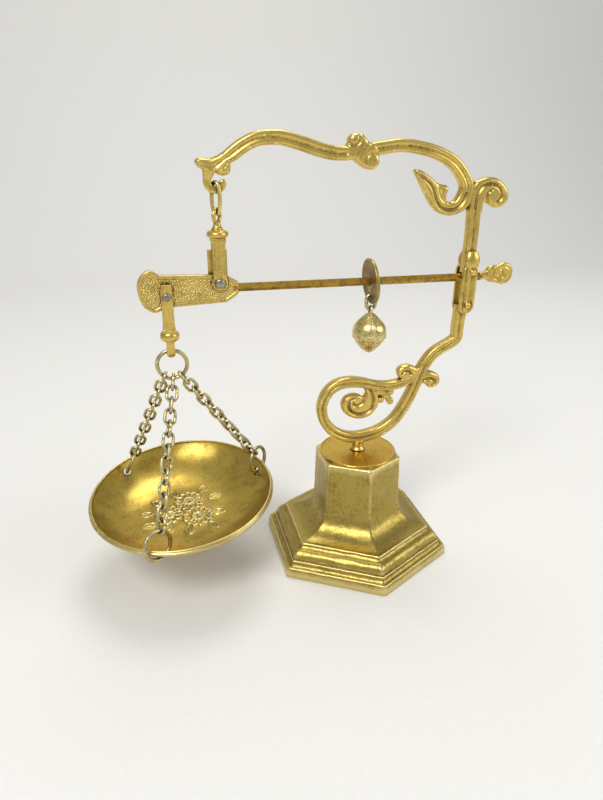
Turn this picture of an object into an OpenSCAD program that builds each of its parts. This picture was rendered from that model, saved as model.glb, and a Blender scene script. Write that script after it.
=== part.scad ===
// Miniature steelyard: a hexagonal foot, a scroll arm, a lever with its sliding weight and a pan on chains.
// Millimetres, +Z up, the lever along X. The origin is the middle of the foot's bottom face.

/* [Foot] */
// Radius of the foot's bottom edge, centre to corner
foot_r = 40.5; // [39:0.5:43]
// Height of the plain band round the foot
band_h = 4; // [3.5:0.25:4.5]
// Radius where the flare starts, centre to corner
flare_r = 31; // [30:0.5:32]
// Height where the flare starts
flare_z = 12.4; // [12:0.2:14]
// Radius of the column above the flare, centre to corner
column_r = 18.6; // [18:0.2:20]
// Height where the flare has become the column
column_z = 27; // [25:0.5:30]
// Height of the foot casting
foot_h = 43.6; // [42:0.2:46]
// Wall of the foot casting
foot_wall = 3; // [2:0.25:3.5]
// Radius of the disc on the column
cap_r = 15.9; // [13:0.1:16]
// Thickness of that disc
cap_h = 1.2; // [0.8:0.1:2]

/* [Arm] */
// Thickness of the cast arm, front to back
arm_t = 4.4; // [4.2:0.1:4.8]
// Thickness of the hook
hook_t = 1.6; // [1.3:0.1:1.7]
// Radius of the stud that holds the arm on the foot
stud_r = 2.5; // [2:0.1:3]
// Length of the stud below the arm
stud_l = 12; // [10.5:0.5:14]
// Outer radius of the washer
washer_r = 6; // [5:0.25:8]
// Thickness of the washer
washer_t = 1; // [0.6:0.1:1.5]
// Radius of the nut, centre to corner
nut_r = 5; // [4.5:0.1:6]
// Thickness of the nut
nut_t = 4; // [3:0.25:5]
// Thickness of each guide plate
guide_t = 1.4; // [1:0.1:1.6]
// Width of each guide plate
guide_w = 6.4; // [6:0.1:7.4]
// Length of guide plate beyond the slot, above and below
guide_lap = 3; // [2:0.25:4]

/* [Suspension] */
// Outer height of the hook's link
link_h = 11.4; // [10.4:0.1:12]
// Outer width of the hook's link
link_w = 5.4; // [5.3:0.05:5.8]
// Wire diameter of the hook's link
link_wire = 1.25; // [1:0.05:1.3]
// Turn of the hook's link away from square to the arm
link_turn = 35; // [30:1:38]
// Turn of the upper shackle's eye, the other way
eye_turn = 35; // [30:1:42]
// Wire diameter of the upper shackle's eye
eye_wire = 1.4; // [1.2:0.1:1.5]
// Radius of the hole in that eye
eye_hole_r = 1.5; // [1.5:0.05:1.8]
// Neck between that eye and the collar
eye_neck = 0.9; // [0.4:0.1:1.4]
// Radius of the upper shackle's collar
upper_collar_r = 3.8; // [3.3:0.1:4.2]
// Height of both shackles' collars
collar_h = 3.8; // [3:0.1:4.5]
// Width of the upper shackle's prongs
upper_prong_w = 5.2; // [4.6:0.1:6]
// Collar to pin on the upper shackle
upper_reach = 14.9; // [14:0.1:16]
// Thickness of every prong
prong_t = 1.2; // [1:0.1:1.4]
// Radius of the fulcrum pin
fulcrum_r = 1; // [0.8:0.05:1.2]
// Radius of its rivet heads
fulcrum_head_r = 1.65; // [1.5:0.05:2]
// Thickness of every rivet head
head_t = 0.8; // [0.5:0.1:1]
// Play between a prong and the plate
prong_play = 0.35; // [0.2:0.05:0.5]
// Radial clearance of pins and bores
pin_play = 0.06; // [0.02:0.01:0.1]

/* [Lever] */
// Thickness of the lever's plate
plate_t = 2.5; // [2:0.1:2.8]
// Height of the plate
plate_h = 9.8; // [9:0.1:10.6]
// Distance from the fulcrum to the load pin
load_arm = 18.8; // [18:0.2:19.6]
// Side of the square rod
rod_side = 2.2; // [2:0.05:2.3]
// Fulcrum to the rod's start
rod_start = 5.5; // [5:0.1:6]
// Fulcrum to the end of the rod
rod_end = 102.6; // [102:0.2:106]
// Radius of the finial's neck
neck_r = 1.6; // [1.4:0.05:1.8]
// Length of the neck
neck_l = 2.6; // [2:0.1:3]
// Radius of the finial's small lobe
lobe_small_r = 3.6; // [3.2:0.1:4]
// Radius of the finial's large lobe
lobe_large_r = 4.2; // [3.8:0.1:4.8]
// Play between the rod and the top of the guide slot
stop_play = 0.25; // [0.2:0.05:0.4]
// Drop of the slot's lower end below the rod
slot_drop = 11; // [10:0.5:12]

/* [Load side] */
// Radius of the load pin
load_pin_r = 0.9; // [0.7:0.05:1]
// Radius of its rivet heads
load_head_r = 1.4; // [1.25:0.05:1.8]
// Load pin to the lower shackle's collar
lower_reach = 12.8; // [12:0.2:15]
// Radius of the lower shackle's collar
lower_collar_r = 3.5; // [3.2:0.1:4]
// Width of the lower shackle's prongs
lower_prong_w = 4.6; // [4.2:0.1:5.2]
// Width of the strip that forms the lower eye
strip_w = 3; // [2.6:0.1:3.2]
// Radius of the hole in the lower eye
strip_hole_r = 1.6; // [1.5:0.05:1.8]
// Thickness of that strip round the hole
strip_t = 1.6; // [1.4:0.1:1.8]
// Centre radius of the load ring and of the pan's rings
ring_r = 5.4; // [5.3:0.05:5.6]
// Wire diameter of those rings
ring_wire = 1.5; // [1.3:0.05:1.6]

/* [Pan] */
// Radius of the pan's rim
pan_r = 35.2; // [34:0.2:35.6]
// Depth of the pan
pan_depth = 10.5; // [9.5:0.25:11]
// Radius of the pan's flat floor
pan_floor_r = 14; // [12:0.5:15]
// Thickness of the pan
pan_t = 1.5; // [1.2:0.1:1.6]
// Radius of the rolled rim
rim_r = 0.9; // [0.8:0.05:1]
// Height of the rim's centre
pan_z = 34.5; // [33.5:0.25:37]
// Tilt of the pan
pan_tilt = 6.6; // [5:0.2:8]
// Distance of the ring holes from the rim, along the wall
hole_inset = 4.1; // [4:0.1:4.3]
// Radius of the ring holes
hole_r = 1.45; // [1.4:0.05:1.6]

/* [Chains] */
// Outer length of a chain link
chain_l = 7; // [6.8:0.1:7.4]
// Outer width of a chain link
chain_w = 4.9; // [4.7:0.1:5.2]
// Wire diameter of a chain link
chain_wire = 1.2; // [1:0.05:1.25]
// Play between two links
chain_play = 0.06; // [0.04:0.01:0.1]

/* [Poise] */
// Radius of the sliding disc
disc_r = 8.6; // [8.2:0.1:8.8]
// Thickness of the disc
disc_t = 1.5; // [1.2:0.1:1.6]
// Lean of the disc
disc_lean = 5; // [2:0.5:5.5]
// Fulcrum to the disc, as it stands
disc_x = 56.8; // [50:0.2:65]
// Distance of the disc's lower hole from its centre
disc_hole_drop = 4.95; // [4.9:0.05:5.2]
// Radius of the ball
ball_r = 6.6; // [6:0.1:6.8]
// Depth of the ball's blunt point below its widest ring
ball_drop = 8; // [6.8:0.1:8.4]
// Wire diameter of the ball's eye
ball_eye_wire = 1; // [0.9:0.05:1.05]

/* [Hidden] */
brass = "goldenrod";
pale_brass = "khaki";
steel = "silver";
seat_play = 0.05;
bite = 0.3;
arm_z = foot_h + cap_h;

// Where the arm's hook stands, measured from the arm's foot
hook_x = -54.6;
hook_floor = 104.8;
hook_gap = 3.8;
hook_bar = 1.8;
hook_root = 112;

// Heights down the suspension. The turned link sits on the edges of the hook's floor and of the eye.
// A bend of inner radius r drops by this much over the half width t of what it rests on.
function sag(r, t) = r - sqrt(r ^ 2 - t ^ 2);
hook_play = 0.22;
link_sag = sag(link_w / 2 - link_wire, hook_t / 2 / cos(link_turn));
floor_rise = sag(hook_gap / 2, hook_t / 2 * tan(link_turn));
link_top = arm_z + hook_floor + link_wire + link_sag + floor_rise + hook_play;
link_bottom = link_top - link_h;
eye_play = 0.2;
eye_z = link_bottom + link_wire + eye_play - eye_hole_r;
upper_collar_top = eye_z - eye_hole_r - eye_wire - eye_neck;
fulcrum_z = upper_collar_top - collar_h - upper_reach;
rod_z = fulcrum_z - 2.2;
rod_half = rod_side * sqrt(2) / 2;
slot_top = rod_z + rod_half + stop_play;
slot_bottom = rod_z - slot_drop;

// Lever
lever_x0 = hook_x;
load_x = lever_x0 - load_arm;
load_z = fulcrum_z - 4;
plate_mid = rod_z - 0.1;
prong_in = plate_t / 2 + prong_play;
prong_out = prong_in + prong_t;
pin_half = prong_out + head_t + 0.1;

// Load side
lower_collar_top = load_z - lower_reach;
strip_z = lower_collar_top - collar_h - strip_hole_r - 1.4;
ring_sag = sag(ring_r - ring_wire / 2, strip_w / 2);
ring_z = strip_z - strip_hole_r + ring_wire / 2 + ring_sag + seat_play - ring_r;

// Poise
disc_at = lever_x0 + disc_x;
bore_play = 0.16;
disc_edge = 0.4;
disc_bore_r = rod_half + bore_play;
disc_z = rod_z - bore_play / 2;
disc_eye_r = chain_wire / 2 + 0.4;
hang_x = disc_at + disc_hole_drop * sin(disc_lean);
hang_z = disc_z - disc_hole_drop * cos(disc_lean);
hang_rest = sag(chain_w / 2 - chain_wire, disc_t / 2) + 0.14;
poise_link_z = hang_z - disc_eye_r + chain_wire + hang_rest - chain_l / 2;
link_arc_z = poise_link_z - chain_l / 2 + chain_w / 2;
ball_eye_r = 1.45;
ball_neck = 1; // what the neck adds above the round of the ball
ball_rise = ball_r + ball_neck;
// The ball's outline below and above its widest ring, as shares of its radius and of its depth or height
ball_low = [[0.08, 1], [0.25, 0.94], [0.5, 0.76], [0.76, 0.5], [0.93, 0.25], [1, 0.06]];
ball_high = [[0.99, 0.12], [0.94, 0.3], [0.83, 0.48], [0.67, 0.64], [0.48, 0.8], [0.34, 0.92], [0.22, 1]];
ball_eye_z = poise_link_z - chain_l / 2 + chain_wire + seat_play + ball_eye_wire / 2 - ball_eye_r;
ball_z = ball_eye_z - ball_eye_r - 0.9 - ball_r;

// Pan frame: the rim's plane leans towards the front left
pan_axis = [0.857, -0.515, 0];
wall_curve = ((pan_r - pan_floor_r) ^ 2 + pan_depth ^ 2) / (2 * pan_depth);
wall_end = asin((pan_r - pan_floor_r) / wall_curve);
wall_hole = wall_end - hole_inset / wall_curve * 180 / PI;
wall_core = wall_curve + pan_t / 2;
hole_at = [pan_floor_r + wall_core * sin(wall_hole), wall_curve - wall_core * cos(wall_hole) - pan_depth];
ring_angles = [133, 16, -105.7];
ring_twists = [-51, 33, -38];
ring_lifts = [60, 68, 75];
ring_rolls = [28, -5, 11];
ring_bow = 0.35;

// Catmull-Rom curve through points of any size, n steps a span
function cr(a, b, c, d, t) = 0.5 * (2 * b + (c - a) * t + (2 * a - 5 * b + 4 * c - d) * t * t
    + (3 * b - a - 3 * c + d) * t * t * t);
function curve(p, n = 5) = [for (i = [0:len(p) - 2]) for (k = [0:n - 1])
    cr(p[max(i - 1, 0)], p[i], p[i + 1], p[min(i + 2, len(p) - 1)], k / n), p[len(p) - 1]];

// One edge of a band whose points are [x, z, width]
function edge(q, s) = [for (i = [0:len(q) - 1]) let (a = q[max(i - 1, 0)], b = q[min(i + 1, len(q) - 1)],
    dx = b[0] - a[0], dz = b[1] - a[1], l = norm([dx, dz]))
    [q[i][0] - s * dz / l * q[i][2] / 2, q[i][1] + s * dx / l * q[i][2] / 2]];
function backwards(p) = [for (i = [len(p) - 1:-1:0]) p[i]];

module band(p, n = 5) {
    q = curve(p, n);
    polygon(concat(edge(q, 1), backwards(edge(q, -1))));
}

// A flat casting: its outline stands in the XZ plane, half its thickness on each side
module upright(t) {
    rotate([90, 0, 0]) linear_extrude(t, center = true) children();
}

module dot(x, z, r) {
    translate([x, z]) circle(r, $fn = 32);
}

module pin(x, z, r, head_r, half) {
    translate([x, 0, z]) rotate([90, 0, 0]) {
        cylinder(r = r, h = 2 * half - 0.2, center = true, $fn = 32);
        for (s = [-1, 1]) translate([0, 0, s * (half - head_t / 2)])
            cylinder(r = head_r, h = head_t, center = true, $fn = 32);
    }
}

module torus(r, wire) {
    rotate_extrude($fn = 40) translate([r, 0]) circle(d = wire, $fn = 16);
}

// Oval wire link along Z, lying in the XZ plane
module oval_link(l, w, wire) {
    r = (w - wire) / 2;
    run = l - w;
    for (s = [-1, 1]) {
        translate([0, 0, s * run / 2]) rotate([90, 0, 0]) rotate([0, 0, s > 0 ? 0 : 180])
            rotate_extrude(angle = 180, $fn = 32) translate([r, 0]) circle(d = wire, $fn = 16);
        translate([s * r, 0, 0]) cylinder(d = wire, h = run, center = true, $fn = 16);
    }
}

// Foot

function flare_profile(wall) = [for (i = [0:12]) let (t = i / 12)
    [flare_r - wall - (flare_r - column_r) * (1 - (1 - t) ^ 2.6), flare_z + (column_z - flare_z) * t ^ 1.5]];
function ovolo(r0, z0, r1, z1) = [for (a = [0:22.5:90])
    [r1 + (r0 - r1) * cos(a), z0 + (z1 - z0) * sin(a)]];
foot_outline = concat([[foot_r, 0], [foot_r - 0.6, band_h - 0.4], [foot_r - 1.4, band_h]],
    ovolo(foot_r - 2.2, band_h + 0.4, foot_r - 3.6, band_h + 1.9),
    ovolo(foot_r - 4.2, band_h + 2.3, flare_r + 1.6, flare_z - 1.8),
    [[flare_r + 0.9, flare_z - 1], [flare_r + 0.5, flare_z - 0.2]], flare_profile(0),
    [[column_r - 0.8, foot_h]]);
foot_hollow = concat([[foot_r - foot_wall - 1, -1], [foot_r - foot_wall - 3, band_h + 1],
    [flare_r - foot_wall + 1, flare_z - 1]], flare_profile(foot_wall),
    [[column_r - 0.8 - foot_wall, foot_h - foot_wall]]);

// A hexagonal solid from a corner profile, as three crossed prisms
module hexagon_of(profile) {
    flat = cos(30);
    half = [for (p = profile) [p[0] * flat, p[1]]];
    outline = concat(half, [for (p = backwards(half)) [-p[0], p[1]]]);
    intersection_for(turn = [0, 60, 120]) rotate([90, 0, turn])
        linear_extrude(2.4 * foot_r, center = true) polygon(outline);
}

module base_casting() color(brass) difference() {
    hexagon_of(foot_outline);
    hexagon_of(foot_hollow);
    translate([0, 0, foot_h - foot_wall - 1]) cylinder(r = stud_r + 0.2, h = foot_wall + 2, $fn = 40);
}

module cap_disc() color(brass) translate([0, 0, foot_h]) difference() {
    cylinder(r = cap_r, h = cap_h, $fn = 96);
    translate([0, 0, -1]) cylinder(r = stud_r + 0.1, h = cap_h + 2, $fn = 40);
}

module fixing_washer() color(steel) translate([0, 0, foot_h - foot_wall - washer_t]) difference() {
    cylinder(r = washer_r, h = washer_t, $fn = 48);
    translate([0, 0, -1]) cylinder(r = stud_r + 0.15, h = washer_t + 2, $fn = 40);
}

module fixing_nut() color(steel) translate([0, 0, foot_h - foot_wall - washer_t - nut_t]) difference() {
    cylinder(r = nut_r, h = nut_t, $fn = 6);
    translate([0, 0, -1]) cylinder(r = stud_r + 0.05, h = nut_t + 2, $fn = 40);
}

// Arm. Each band is a list of [x, height above the arm's foot, width].

post_x = 40.7;
post_lean = 0.065;
function post_at(z) = post_x + post_lean * (z - slot_bottom);
post_foot = 43;
post_foot_w = 4.6;
post_low_w = 5;
post_high_w = 5.2;
post_neck = 13;
post_neck_w = 4.4;
post_step = 0.2;
post_head = [41.8, 97];
shoe_w = 5.2;
shoe_h = 4.4;
loop_band = [[39.8, 44.8, 4.6], [35.6, 43.2, 4.6], [31.2, 40.6, 4.6], [28.4, 37.6, 4.6],
    [26.2, 34.2, 4.6], [24.6, 30, 4.6], [22.8, 25, 4.6], [20.8, 20.6, 4.8], [18.2, 15.8, 4.8],
    [14.6, 11.2, 4.8], [9.2, 7.6, 4.8], [2.4, 5.8, 4.8], [-4.4, 6, 4.6], [-10.6, 9, 4.4],
    [-14.8, 14.4, 4.2], [-16.1, 20.6, 4.2], [-14.2, 26.2, 4.3], [-10.2, 29.6, 4.4], [-5, 30.5, 4.4]];
tendril_band = [[-8, 30.2, 3.6], [-5, 30.6, 4.2], [0.6, 29.8, 4], [6.2, 28.2, 3.8], [11.8, 27.6, 3.7],
    [17.4, 28.4, 3.8], [21.8, 30.6, 3.6], [24.6, 33.6, 3]];
volute_band = [[-7.6, 29.6, 3.2], [-1.9, 28.6, 3.6], [2.8, 26.6, 4.2], [5.7, 22.8, 4.8], [6, 18.8, 4.8],
    [4, 16, 4.4], [0.4, 15.2, 4], [-3.4, 16.6, 3.8], [-5.3, 19.8, 3.8], [-4.6, 22.8, 3.6], [-2.2, 24.2, 3.2],
    [0, 23.6, 3]];
left_curl = [[24, 34, 3], [21.6, 34.8, 3], [19.2, 34.4, 3], [17.8, 32.4, 3]];
right_curl = [[26, 30.8, 3.2], [29, 31, 3.2], [32, 30.4, 3.2], [33.2, 28, 3]];
leaf_stem = [[9.8, 28, 3], [11.2, 25.6, 2.8], [11.4, 23.4, 2.4]];

// Round ends of the scrolls: [x, height above the arm's foot, radius]
lower_eyes = [[0.3, 20, 4.4], [19.6, 32.2, 3], [31.3, 27.8, 3.2], [9.4, 22.2, 1.8], [13.2, 20.9, 1.8],
    [12.2, 24.2, 1.9]];
upper_eyes = [[49.8, 101.6, 4.2], [-5.3, 119.6, 2.7], [0.2, 112.8, 2.7]];

module lower_outline() {
    band(loop_band);
    band(tendril_band);
    band(volute_band);
    band(left_curl);
    band(right_curl);
    band(leaf_stem);
    for (eye = lower_eyes) dot(eye[0], eye[1], eye[2]);
    translate([-shoe_w / 2, 0]) square([shoe_w, shoe_h]);
}

// A straight tapering bar between two points [x, z, width]
module post(a, b) {
    upright(arm_t) polygon([[a[0] - a[2] / 2, a[1]], [a[0] + a[2] / 2, a[1]], [b[0] + b[2] / 2, b[1]],
        [b[0] - b[2] / 2, b[1]]]);
}

module lower_scroll() color(brass) {
    translate([0, 0, arm_z]) {
        upright(arm_t) lower_outline();
        translate([0, 0, -stud_l]) cylinder(r = stud_r, h = stud_l + 1, $fn = 40);
    }
    post([post_at(arm_z + post_foot), arm_z + post_foot, post_foot_w],
        [post_at(slot_bottom), slot_bottom, post_low_w]);
}

module guide_plate(side) color(brass) {
    mid = post_at((slot_bottom + slot_top) / 2) + 0.4;
    z0 = slot_bottom - guide_lap;
    z1 = slot_top + guide_lap;
    chamfer = 1.2;
    translate([0, side * (arm_t + guide_t) / 2, 0]) upright(guide_t)
        polygon([for (p = [[-1, 0, z0, 1], [-1, 1, z0, 0], [1, 1, z0, 0], [1, 0, z0, 1], [1, 0, z1, -1],
            [1, 1, z1, 0], [-1, 1, z1, 0], [-1, 0, z1, -1]])
            [mid + p[0] * (guide_w / 2 - p[1] * chamfer), p[2] + p[3] * chamfer]]);
}

module front_guide_plate() guide_plate(-1);
module rear_guide_plate() guide_plate(1);

arch_band = [[-56.6, 110.8, 4], [-52.6, 112.2, 4.8], [-48.8, 114.8, 4.8], [-45, 117.4, 4.8],
    [-40.4, 119.5, 4.8], [-35.6, 120, 4.8], [-31.3, 119.8, 4.8], [-25, 118.2, 4.8], [-18.8, 116.3, 4.8],
    [-13.8, 115.3, 4.8], [-9.6, 115.1, 4.6], [-3, 115.8, 4.6], [3.8, 117, 4.5], [11.9, 117.8, 4.5],
    [22, 116.2, 4.5], [29.6, 113.2, 4.5], [34.2, 109.4, 4.5], [37.2, 105.2, 4.6], [37.8, 101.4, 4.8],
    [35.4, 98.2, 5], [31.6, 96.9, 5.2], [27.6, 97.8, 5.4], [24.4, 101, 5], [21.8, 105, 3.8],
    [19, 108.2, 2.2], [17.4, 109.8, 1.2]];
leaf_bump = [[25.4, 99, 3.4], [27.6, 102, 3.4], [30.2, 103.9, 2]];
right_volute = [[41.8, 96, 4.6], [41.8, 101, 4.6], [44, 104.4, 4.6], [48.2, 105.4, 4.6], [52, 103.6, 4.6],
    [52.8, 100, 4.6]];
top_knob = [[2.4, 118.4, 2.6], [-1, 119.4, 3.4], [-4.6, 120, 3.6]];
low_knob = [[-7.6, 113.6, 2.2], [-4.4, 112.8, 3], [-0.4, 112.6, 3.4]];
head_leaf = [[-60.4, 111.6, 1.8], [-57.6, 111.5, 4], [-53.6, 110.6, 5.4], [-50, 109.8, 3.6]];

module upper_outline() {
    band(arch_band);
    band(leaf_bump);
    band(right_volute);
    band(top_knob);
    band(low_knob);
    band(head_leaf);
    for (eye = upper_eyes) dot(eye[0], eye[1], eye[2]);
}

// The hook hangs open to the right and its floor is round
module hook_outline() {
    rise = hook_gap / 2;
    mid = hook_floor + rise;
    round = rise + hook_bar;
    difference() {
        dot(hook_x, mid, round);
        dot(hook_x, mid, rise);
        translate([hook_x - 2 * round, mid]) square([4 * round, 2 * round]);
    }
    translate([hook_x - round, mid - 0.01]) square([hook_bar, hook_root - mid]);
    dot(hook_x + rise + hook_bar / 2, mid, hook_bar / 2);
}

module upper_scroll() color(brass) {
    translate([0, 0, arm_z]) {
        upright(arm_t) upper_outline();
        upright(hook_t) hook_outline();
    }
    neck = [post_at(slot_top) + post_step, slot_top + post_neck, post_neck_w];
    post([post_at(slot_top), slot_top, post_high_w], neck);
    post([neck[0], neck[1] - 0.1, post_neck_w], [post_head[0], arm_z + post_head[1], post_neck_w]);
}

// Suspension

module hook_link() color(pale_brass) {
    translate([hook_x, 0, (link_top + link_bottom) / 2]) rotate([0, 0, 90 + link_turn])
        oval_link(link_h, link_w, link_wire);
}

module collar(r, h) {
    rotate_extrude($fn = 48) polygon([[0, 0], [r * 0.72, 0], [r * 0.8, h * 0.2], [r * 0.98, h * 0.3],
        [r, h * 0.5], [r * 0.98, h * 0.7], [r * 0.8, h * 0.8], [r * 0.66, h], [0, h]]);
}

// Two prongs from a collar down to or up to a pin; reach runs from the collar's face to the pin
module prongs(reach, w, up, bore_r) {
    tip = w / 2;
    for (s = [-1, 1]) translate([0, s * (prong_in + prong_t / 2), 0]) difference() {
        upright(prong_t) {
            dot(0, up * reach, tip);
            translate([-tip, min(0, up * reach)]) square([w, reach]);
        }
        translate([0, 0, up * reach]) rotate([90, 0, 0])
            cylinder(r = bore_r, h = 3 * prong_t, center = true, $fn = 32);
    }
    translate([-tip, -prong_out, up > 0 ? -bite : -prong_t]) cube([w, 2 * prong_out, prong_t + bite]);
}

module upper_shackle() color(brass) translate([hook_x, 0, 0]) {
    translate([0, 0, upper_collar_top - collar_h]) {
        collar(upper_collar_r, collar_h);
        prongs(upper_reach, upper_prong_w, -1, fulcrum_r + pin_play);
    }
    translate([0, 0, eye_z]) rotate([90, 0, 90 - eye_turn]) torus(eye_hole_r + eye_wire / 2, eye_wire);
    translate([0, 0, upper_collar_top - 0.2]) cylinder(r = 1.5, h = 0.2 + eye_neck + eye_wire / 2, $fn = 32);
}

module fulcrum_pin() color(steel) pin(hook_x, fulcrum_z, fulcrum_r, fulcrum_head_r, pin_half);

// Lever

plate_left = load_x - 2;
plate_right = lever_x0 + 2.2;
plate_top = plate_mid + plate_h / 2;
plate_low = plate_mid - plate_h / 2;
fan_end = [[plate_left, plate_top + 0.6], [plate_left - 3.4, plate_top + 2.4],
    [plate_left - 6.6, plate_top + 0.2], [plate_left - 7.8, plate_mid + 1],
    [plate_left - 6.4, plate_low + 0.2],
    [plate_left - 2.6, plate_low - 2.6], [plate_left + 1.4, plate_low - 1]];

module plate_outline() difference() {
    polygon(concat(backwards(curve(fan_end, 3)), [[plate_right, plate_top],
        [plate_right + 4.4, rod_z + rod_half + 0.6], [plate_right + 4.4, rod_z - rod_half - 0.6],
        [plate_right + 2.6, plate_low + 1.6], [plate_right, plate_low]]));
    dot(hook_x, fulcrum_z, fulcrum_r + pin_play);
    dot(load_x, load_z, load_pin_r + pin_play);
}

module beam() color(brass) {
    upright(plate_t) plate_outline();
    x0 = lever_x0 + rod_start;
    x1 = lever_x0 + rod_end;
    translate([x0, 0, rod_z]) rotate([45, 0, 0]) translate([0, -rod_side / 2, -rod_side / 2])
        cube([x1 - x0, rod_side, rod_side]);
    translate([x1 - 0.8, 0, rod_z]) rotate([0, 90, 0]) cylinder(r = neck_r, h = neck_l + 0.8, $fn = 32);
    upright(plate_t) {
        dot(x1 + neck_l + lobe_small_r - 0.4, rod_z + 0.2, lobe_small_r);
        dot(x1 + neck_l + 2 * lobe_small_r, rod_z + 0.2, lobe_large_r);
    }
}

// Load side

module load_pin() color(steel) pin(load_x, load_z, load_pin_r, load_head_r, pin_half);

module load_shackle() color(brass) translate([load_x, 0, 0]) {
    translate([0, 0, lower_collar_top]) prongs(lower_reach, lower_prong_w, 1, load_pin_r + pin_play);
    translate([0, 0, lower_collar_top - collar_h]) collar(lower_collar_r, collar_h);
    outer = strip_hole_r + strip_t;
    translate([0, 0, strip_z]) rotate([90, 0, 90]) linear_extrude(strip_w, center = true) difference() {
        union() {
            circle(outer, $fn = 40);
            translate([-outer, 0]) square([2 * outer, lower_collar_top - collar_h + 0.2 - strip_z]);
        }
        circle(strip_hole_r, $fn = 40);
    }
}

module load_ring() color(pale_brass)
    translate([load_x, 0, ring_z]) rotate([90, 0, 0]) torus(ring_r, ring_wire);

// Pan, drawn level about its rim's centre, then leaned

function turn_about(v, axis, a) = v * cos(a) + cross(axis, v) * sin(a) + axis * (axis * v) * (1 - cos(a));
function leaned_way(v) = turn_about(v, pan_axis, pan_tilt);
function lean_point(p) = leaned_way(p) + [load_x, 0, pan_z];

module leaned() {
    translate([load_x, 0, pan_z]) rotate(a = pan_tilt, v = pan_axis) children();
}

function wall_point(a, off) = [pan_floor_r + (wall_curve + off) * sin(a),
    wall_curve - (wall_curve + off) * cos(a) - pan_depth];

module pan_section() {
    steps = [for (i = [0:10]) wall_end * i / 10];
    polygon(concat([[0, -pan_depth - pan_t], [0, -pan_depth]], [for (a = steps) wall_point(a, 0)],
        [for (a = backwards(steps)) wall_point(a, pan_t)]));
}

module pan() color(brass) leaned() {
    difference() {
        rotate_extrude($fn = 96) pan_section();
        for (i = [0:2]) rotate([0, 0, ring_angles[i]]) translate([hole_at[0], 0, hole_at[1]])
            rotate([ring_rolls[i], 0, ring_twists[i]]) rotate([0, 180 - ring_lifts[i], 0])
                translate([-ring_bow, 0, 0]) cylinder(r = hole_r, h = 8, center = true, $fn = 24);
    }
    rotate_extrude($fn = 96) translate([pan_r + 0.3, -0.2]) circle(rim_r, $fn = 20);
}

// Plane and centre of a pan ring, in the level pan's frame
function ring_turn(i) = ring_angles[i] + ring_twists[i];
function ring_across(i) = [cos(ring_turn(i)), sin(ring_turn(i)), 0];
function ring_up(i) = turn_about([0, 0, 1], ring_across(i), ring_rolls[i]);
function ring_centre(i) = [hole_at[0] * cos(ring_angles[i]), hole_at[0] * sin(ring_angles[i]), hole_at[1]]
    + ring_r * (cos(ring_lifts[i]) * ring_across(i) + sin(ring_lifts[i]) * ring_up(i));

module pan_ring(i) color(pale_brass) leaned()
    translate(ring_centre(i)) rotate([90 + ring_rolls[i], 0, ring_turn(i)]) torus(ring_r, ring_wire);

module pan_ring_left() pan_ring(0);
module pan_ring_right() pan_ring(1);
module pan_ring_front() pan_ring(2);

// Chains: straight runs of links from the load ring to the pan rings

chain_spots = [-125, -55, -90];
chain_bore = chain_l - 2 * chain_wire;
reach_end = chain_bore / 2 - ring_wire / 2 - 0.08;
function unit(v) = v / norm(v);
function chain_top(i) = [load_x + ring_r * cos(chain_spots[i]), 0, ring_z + ring_r * sin(chain_spots[i])];

// The point of a pan ring that lies furthest along the pull of its chain
function chain_foot(i) = let (side = leaned_way(ring_across(i)), up = leaned_way(ring_up(i)),
    mid = lean_point(ring_centre(i)), pull = chain_top(i) - mid)
    mid + ring_r * unit((pull * side) * side + (pull * up) * up);
function ring_tangent(i) = [-sin(chain_spots[i]), 0, cos(chain_spots[i])];
function foot_tangent(i) = cross(leaned_way(cross(ring_up(i), ring_across(i))),
    unit(chain_foot(i) - lean_point(ring_centre(i))));

// Turn about the chain, from the plane of the first link to that of the last
function turn_between(a, b, d) = atan2(cross(a, b) * d, a * b);
function flat_to(v, d) = unit(v - d * (v * d));

module chain(i) color(pale_brass) {
    a = chain_top(i);
    b = chain_foot(i);
    d = unit(b - a);
    run = norm(b - a) - 2 * reach_end;
    gaps = ceil(run / (chain_bore - chain_play));
    first = flat_to(ring_tangent(i), d);
    last = flat_to(foot_tangent(i), d);
    swing = turn_between(first, last, d) - 90 * gaps;
    twist = 90 + (swing - 180 * round(swing / 180)) / gaps;
    side = cross(d, first);
    for (k = [0:gaps]) {
        c = a + d * (reach_end + run * k / gaps);
        n = first * cos(twist * k) + side * sin(twist * k);
        x = cross(n, d);
        multmatrix([for (j = [0:2]) [x[j], n[j], d[j], c[j]]]) oval_link(chain_l, chain_w, chain_wire);
    }
}

module chain_left() chain(0);
module chain_right() chain(1);
module chain_front() chain(2);

// Poise

module poise_disc() color(brass) translate([disc_at, 0, disc_z]) rotate([0, -disc_lean, 0]) difference() {
    rotate([0, 90, 0]) rotate_extrude($fn = 72) polygon([[0, -disc_t / 2], [disc_r - disc_edge, -disc_t / 2],
        [disc_r, -disc_t / 2 + disc_edge], [disc_r, disc_t / 2 - disc_edge],
        [disc_r - disc_edge, disc_t / 2], [0, disc_t / 2]]);
    rotate([0, 90, 0]) cylinder(r = disc_bore_r, h = 2 * disc_t, center = true, $fn = 32);
    translate([0, 0, -disc_hole_drop]) rotate([0, 90, 0])
        cylinder(r = disc_eye_r, h = 2 * disc_t, center = true, $fn = 24);
}

module poise_link() color(pale_brass)
    translate([hang_x, 0, poise_link_z]) oval_link(chain_l, chain_w, chain_wire);

module poise_ball() color(brass) translate([hang_x, 0, 0]) {
    translate([0, 0, ball_z]) rotate_extrude($fn = 64) polygon(concat([[0, -ball_drop]],
        [for (p = ball_low) [ball_r * p[0], -ball_drop * p[1]]],
        [for (p = ball_high) [ball_r * p[0], ball_rise * p[1]]], [[0, ball_rise]]));
    translate([0, 0, ball_eye_z]) rotate([0, 90, 0]) torus(ball_eye_r, ball_eye_wire);
}

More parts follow.
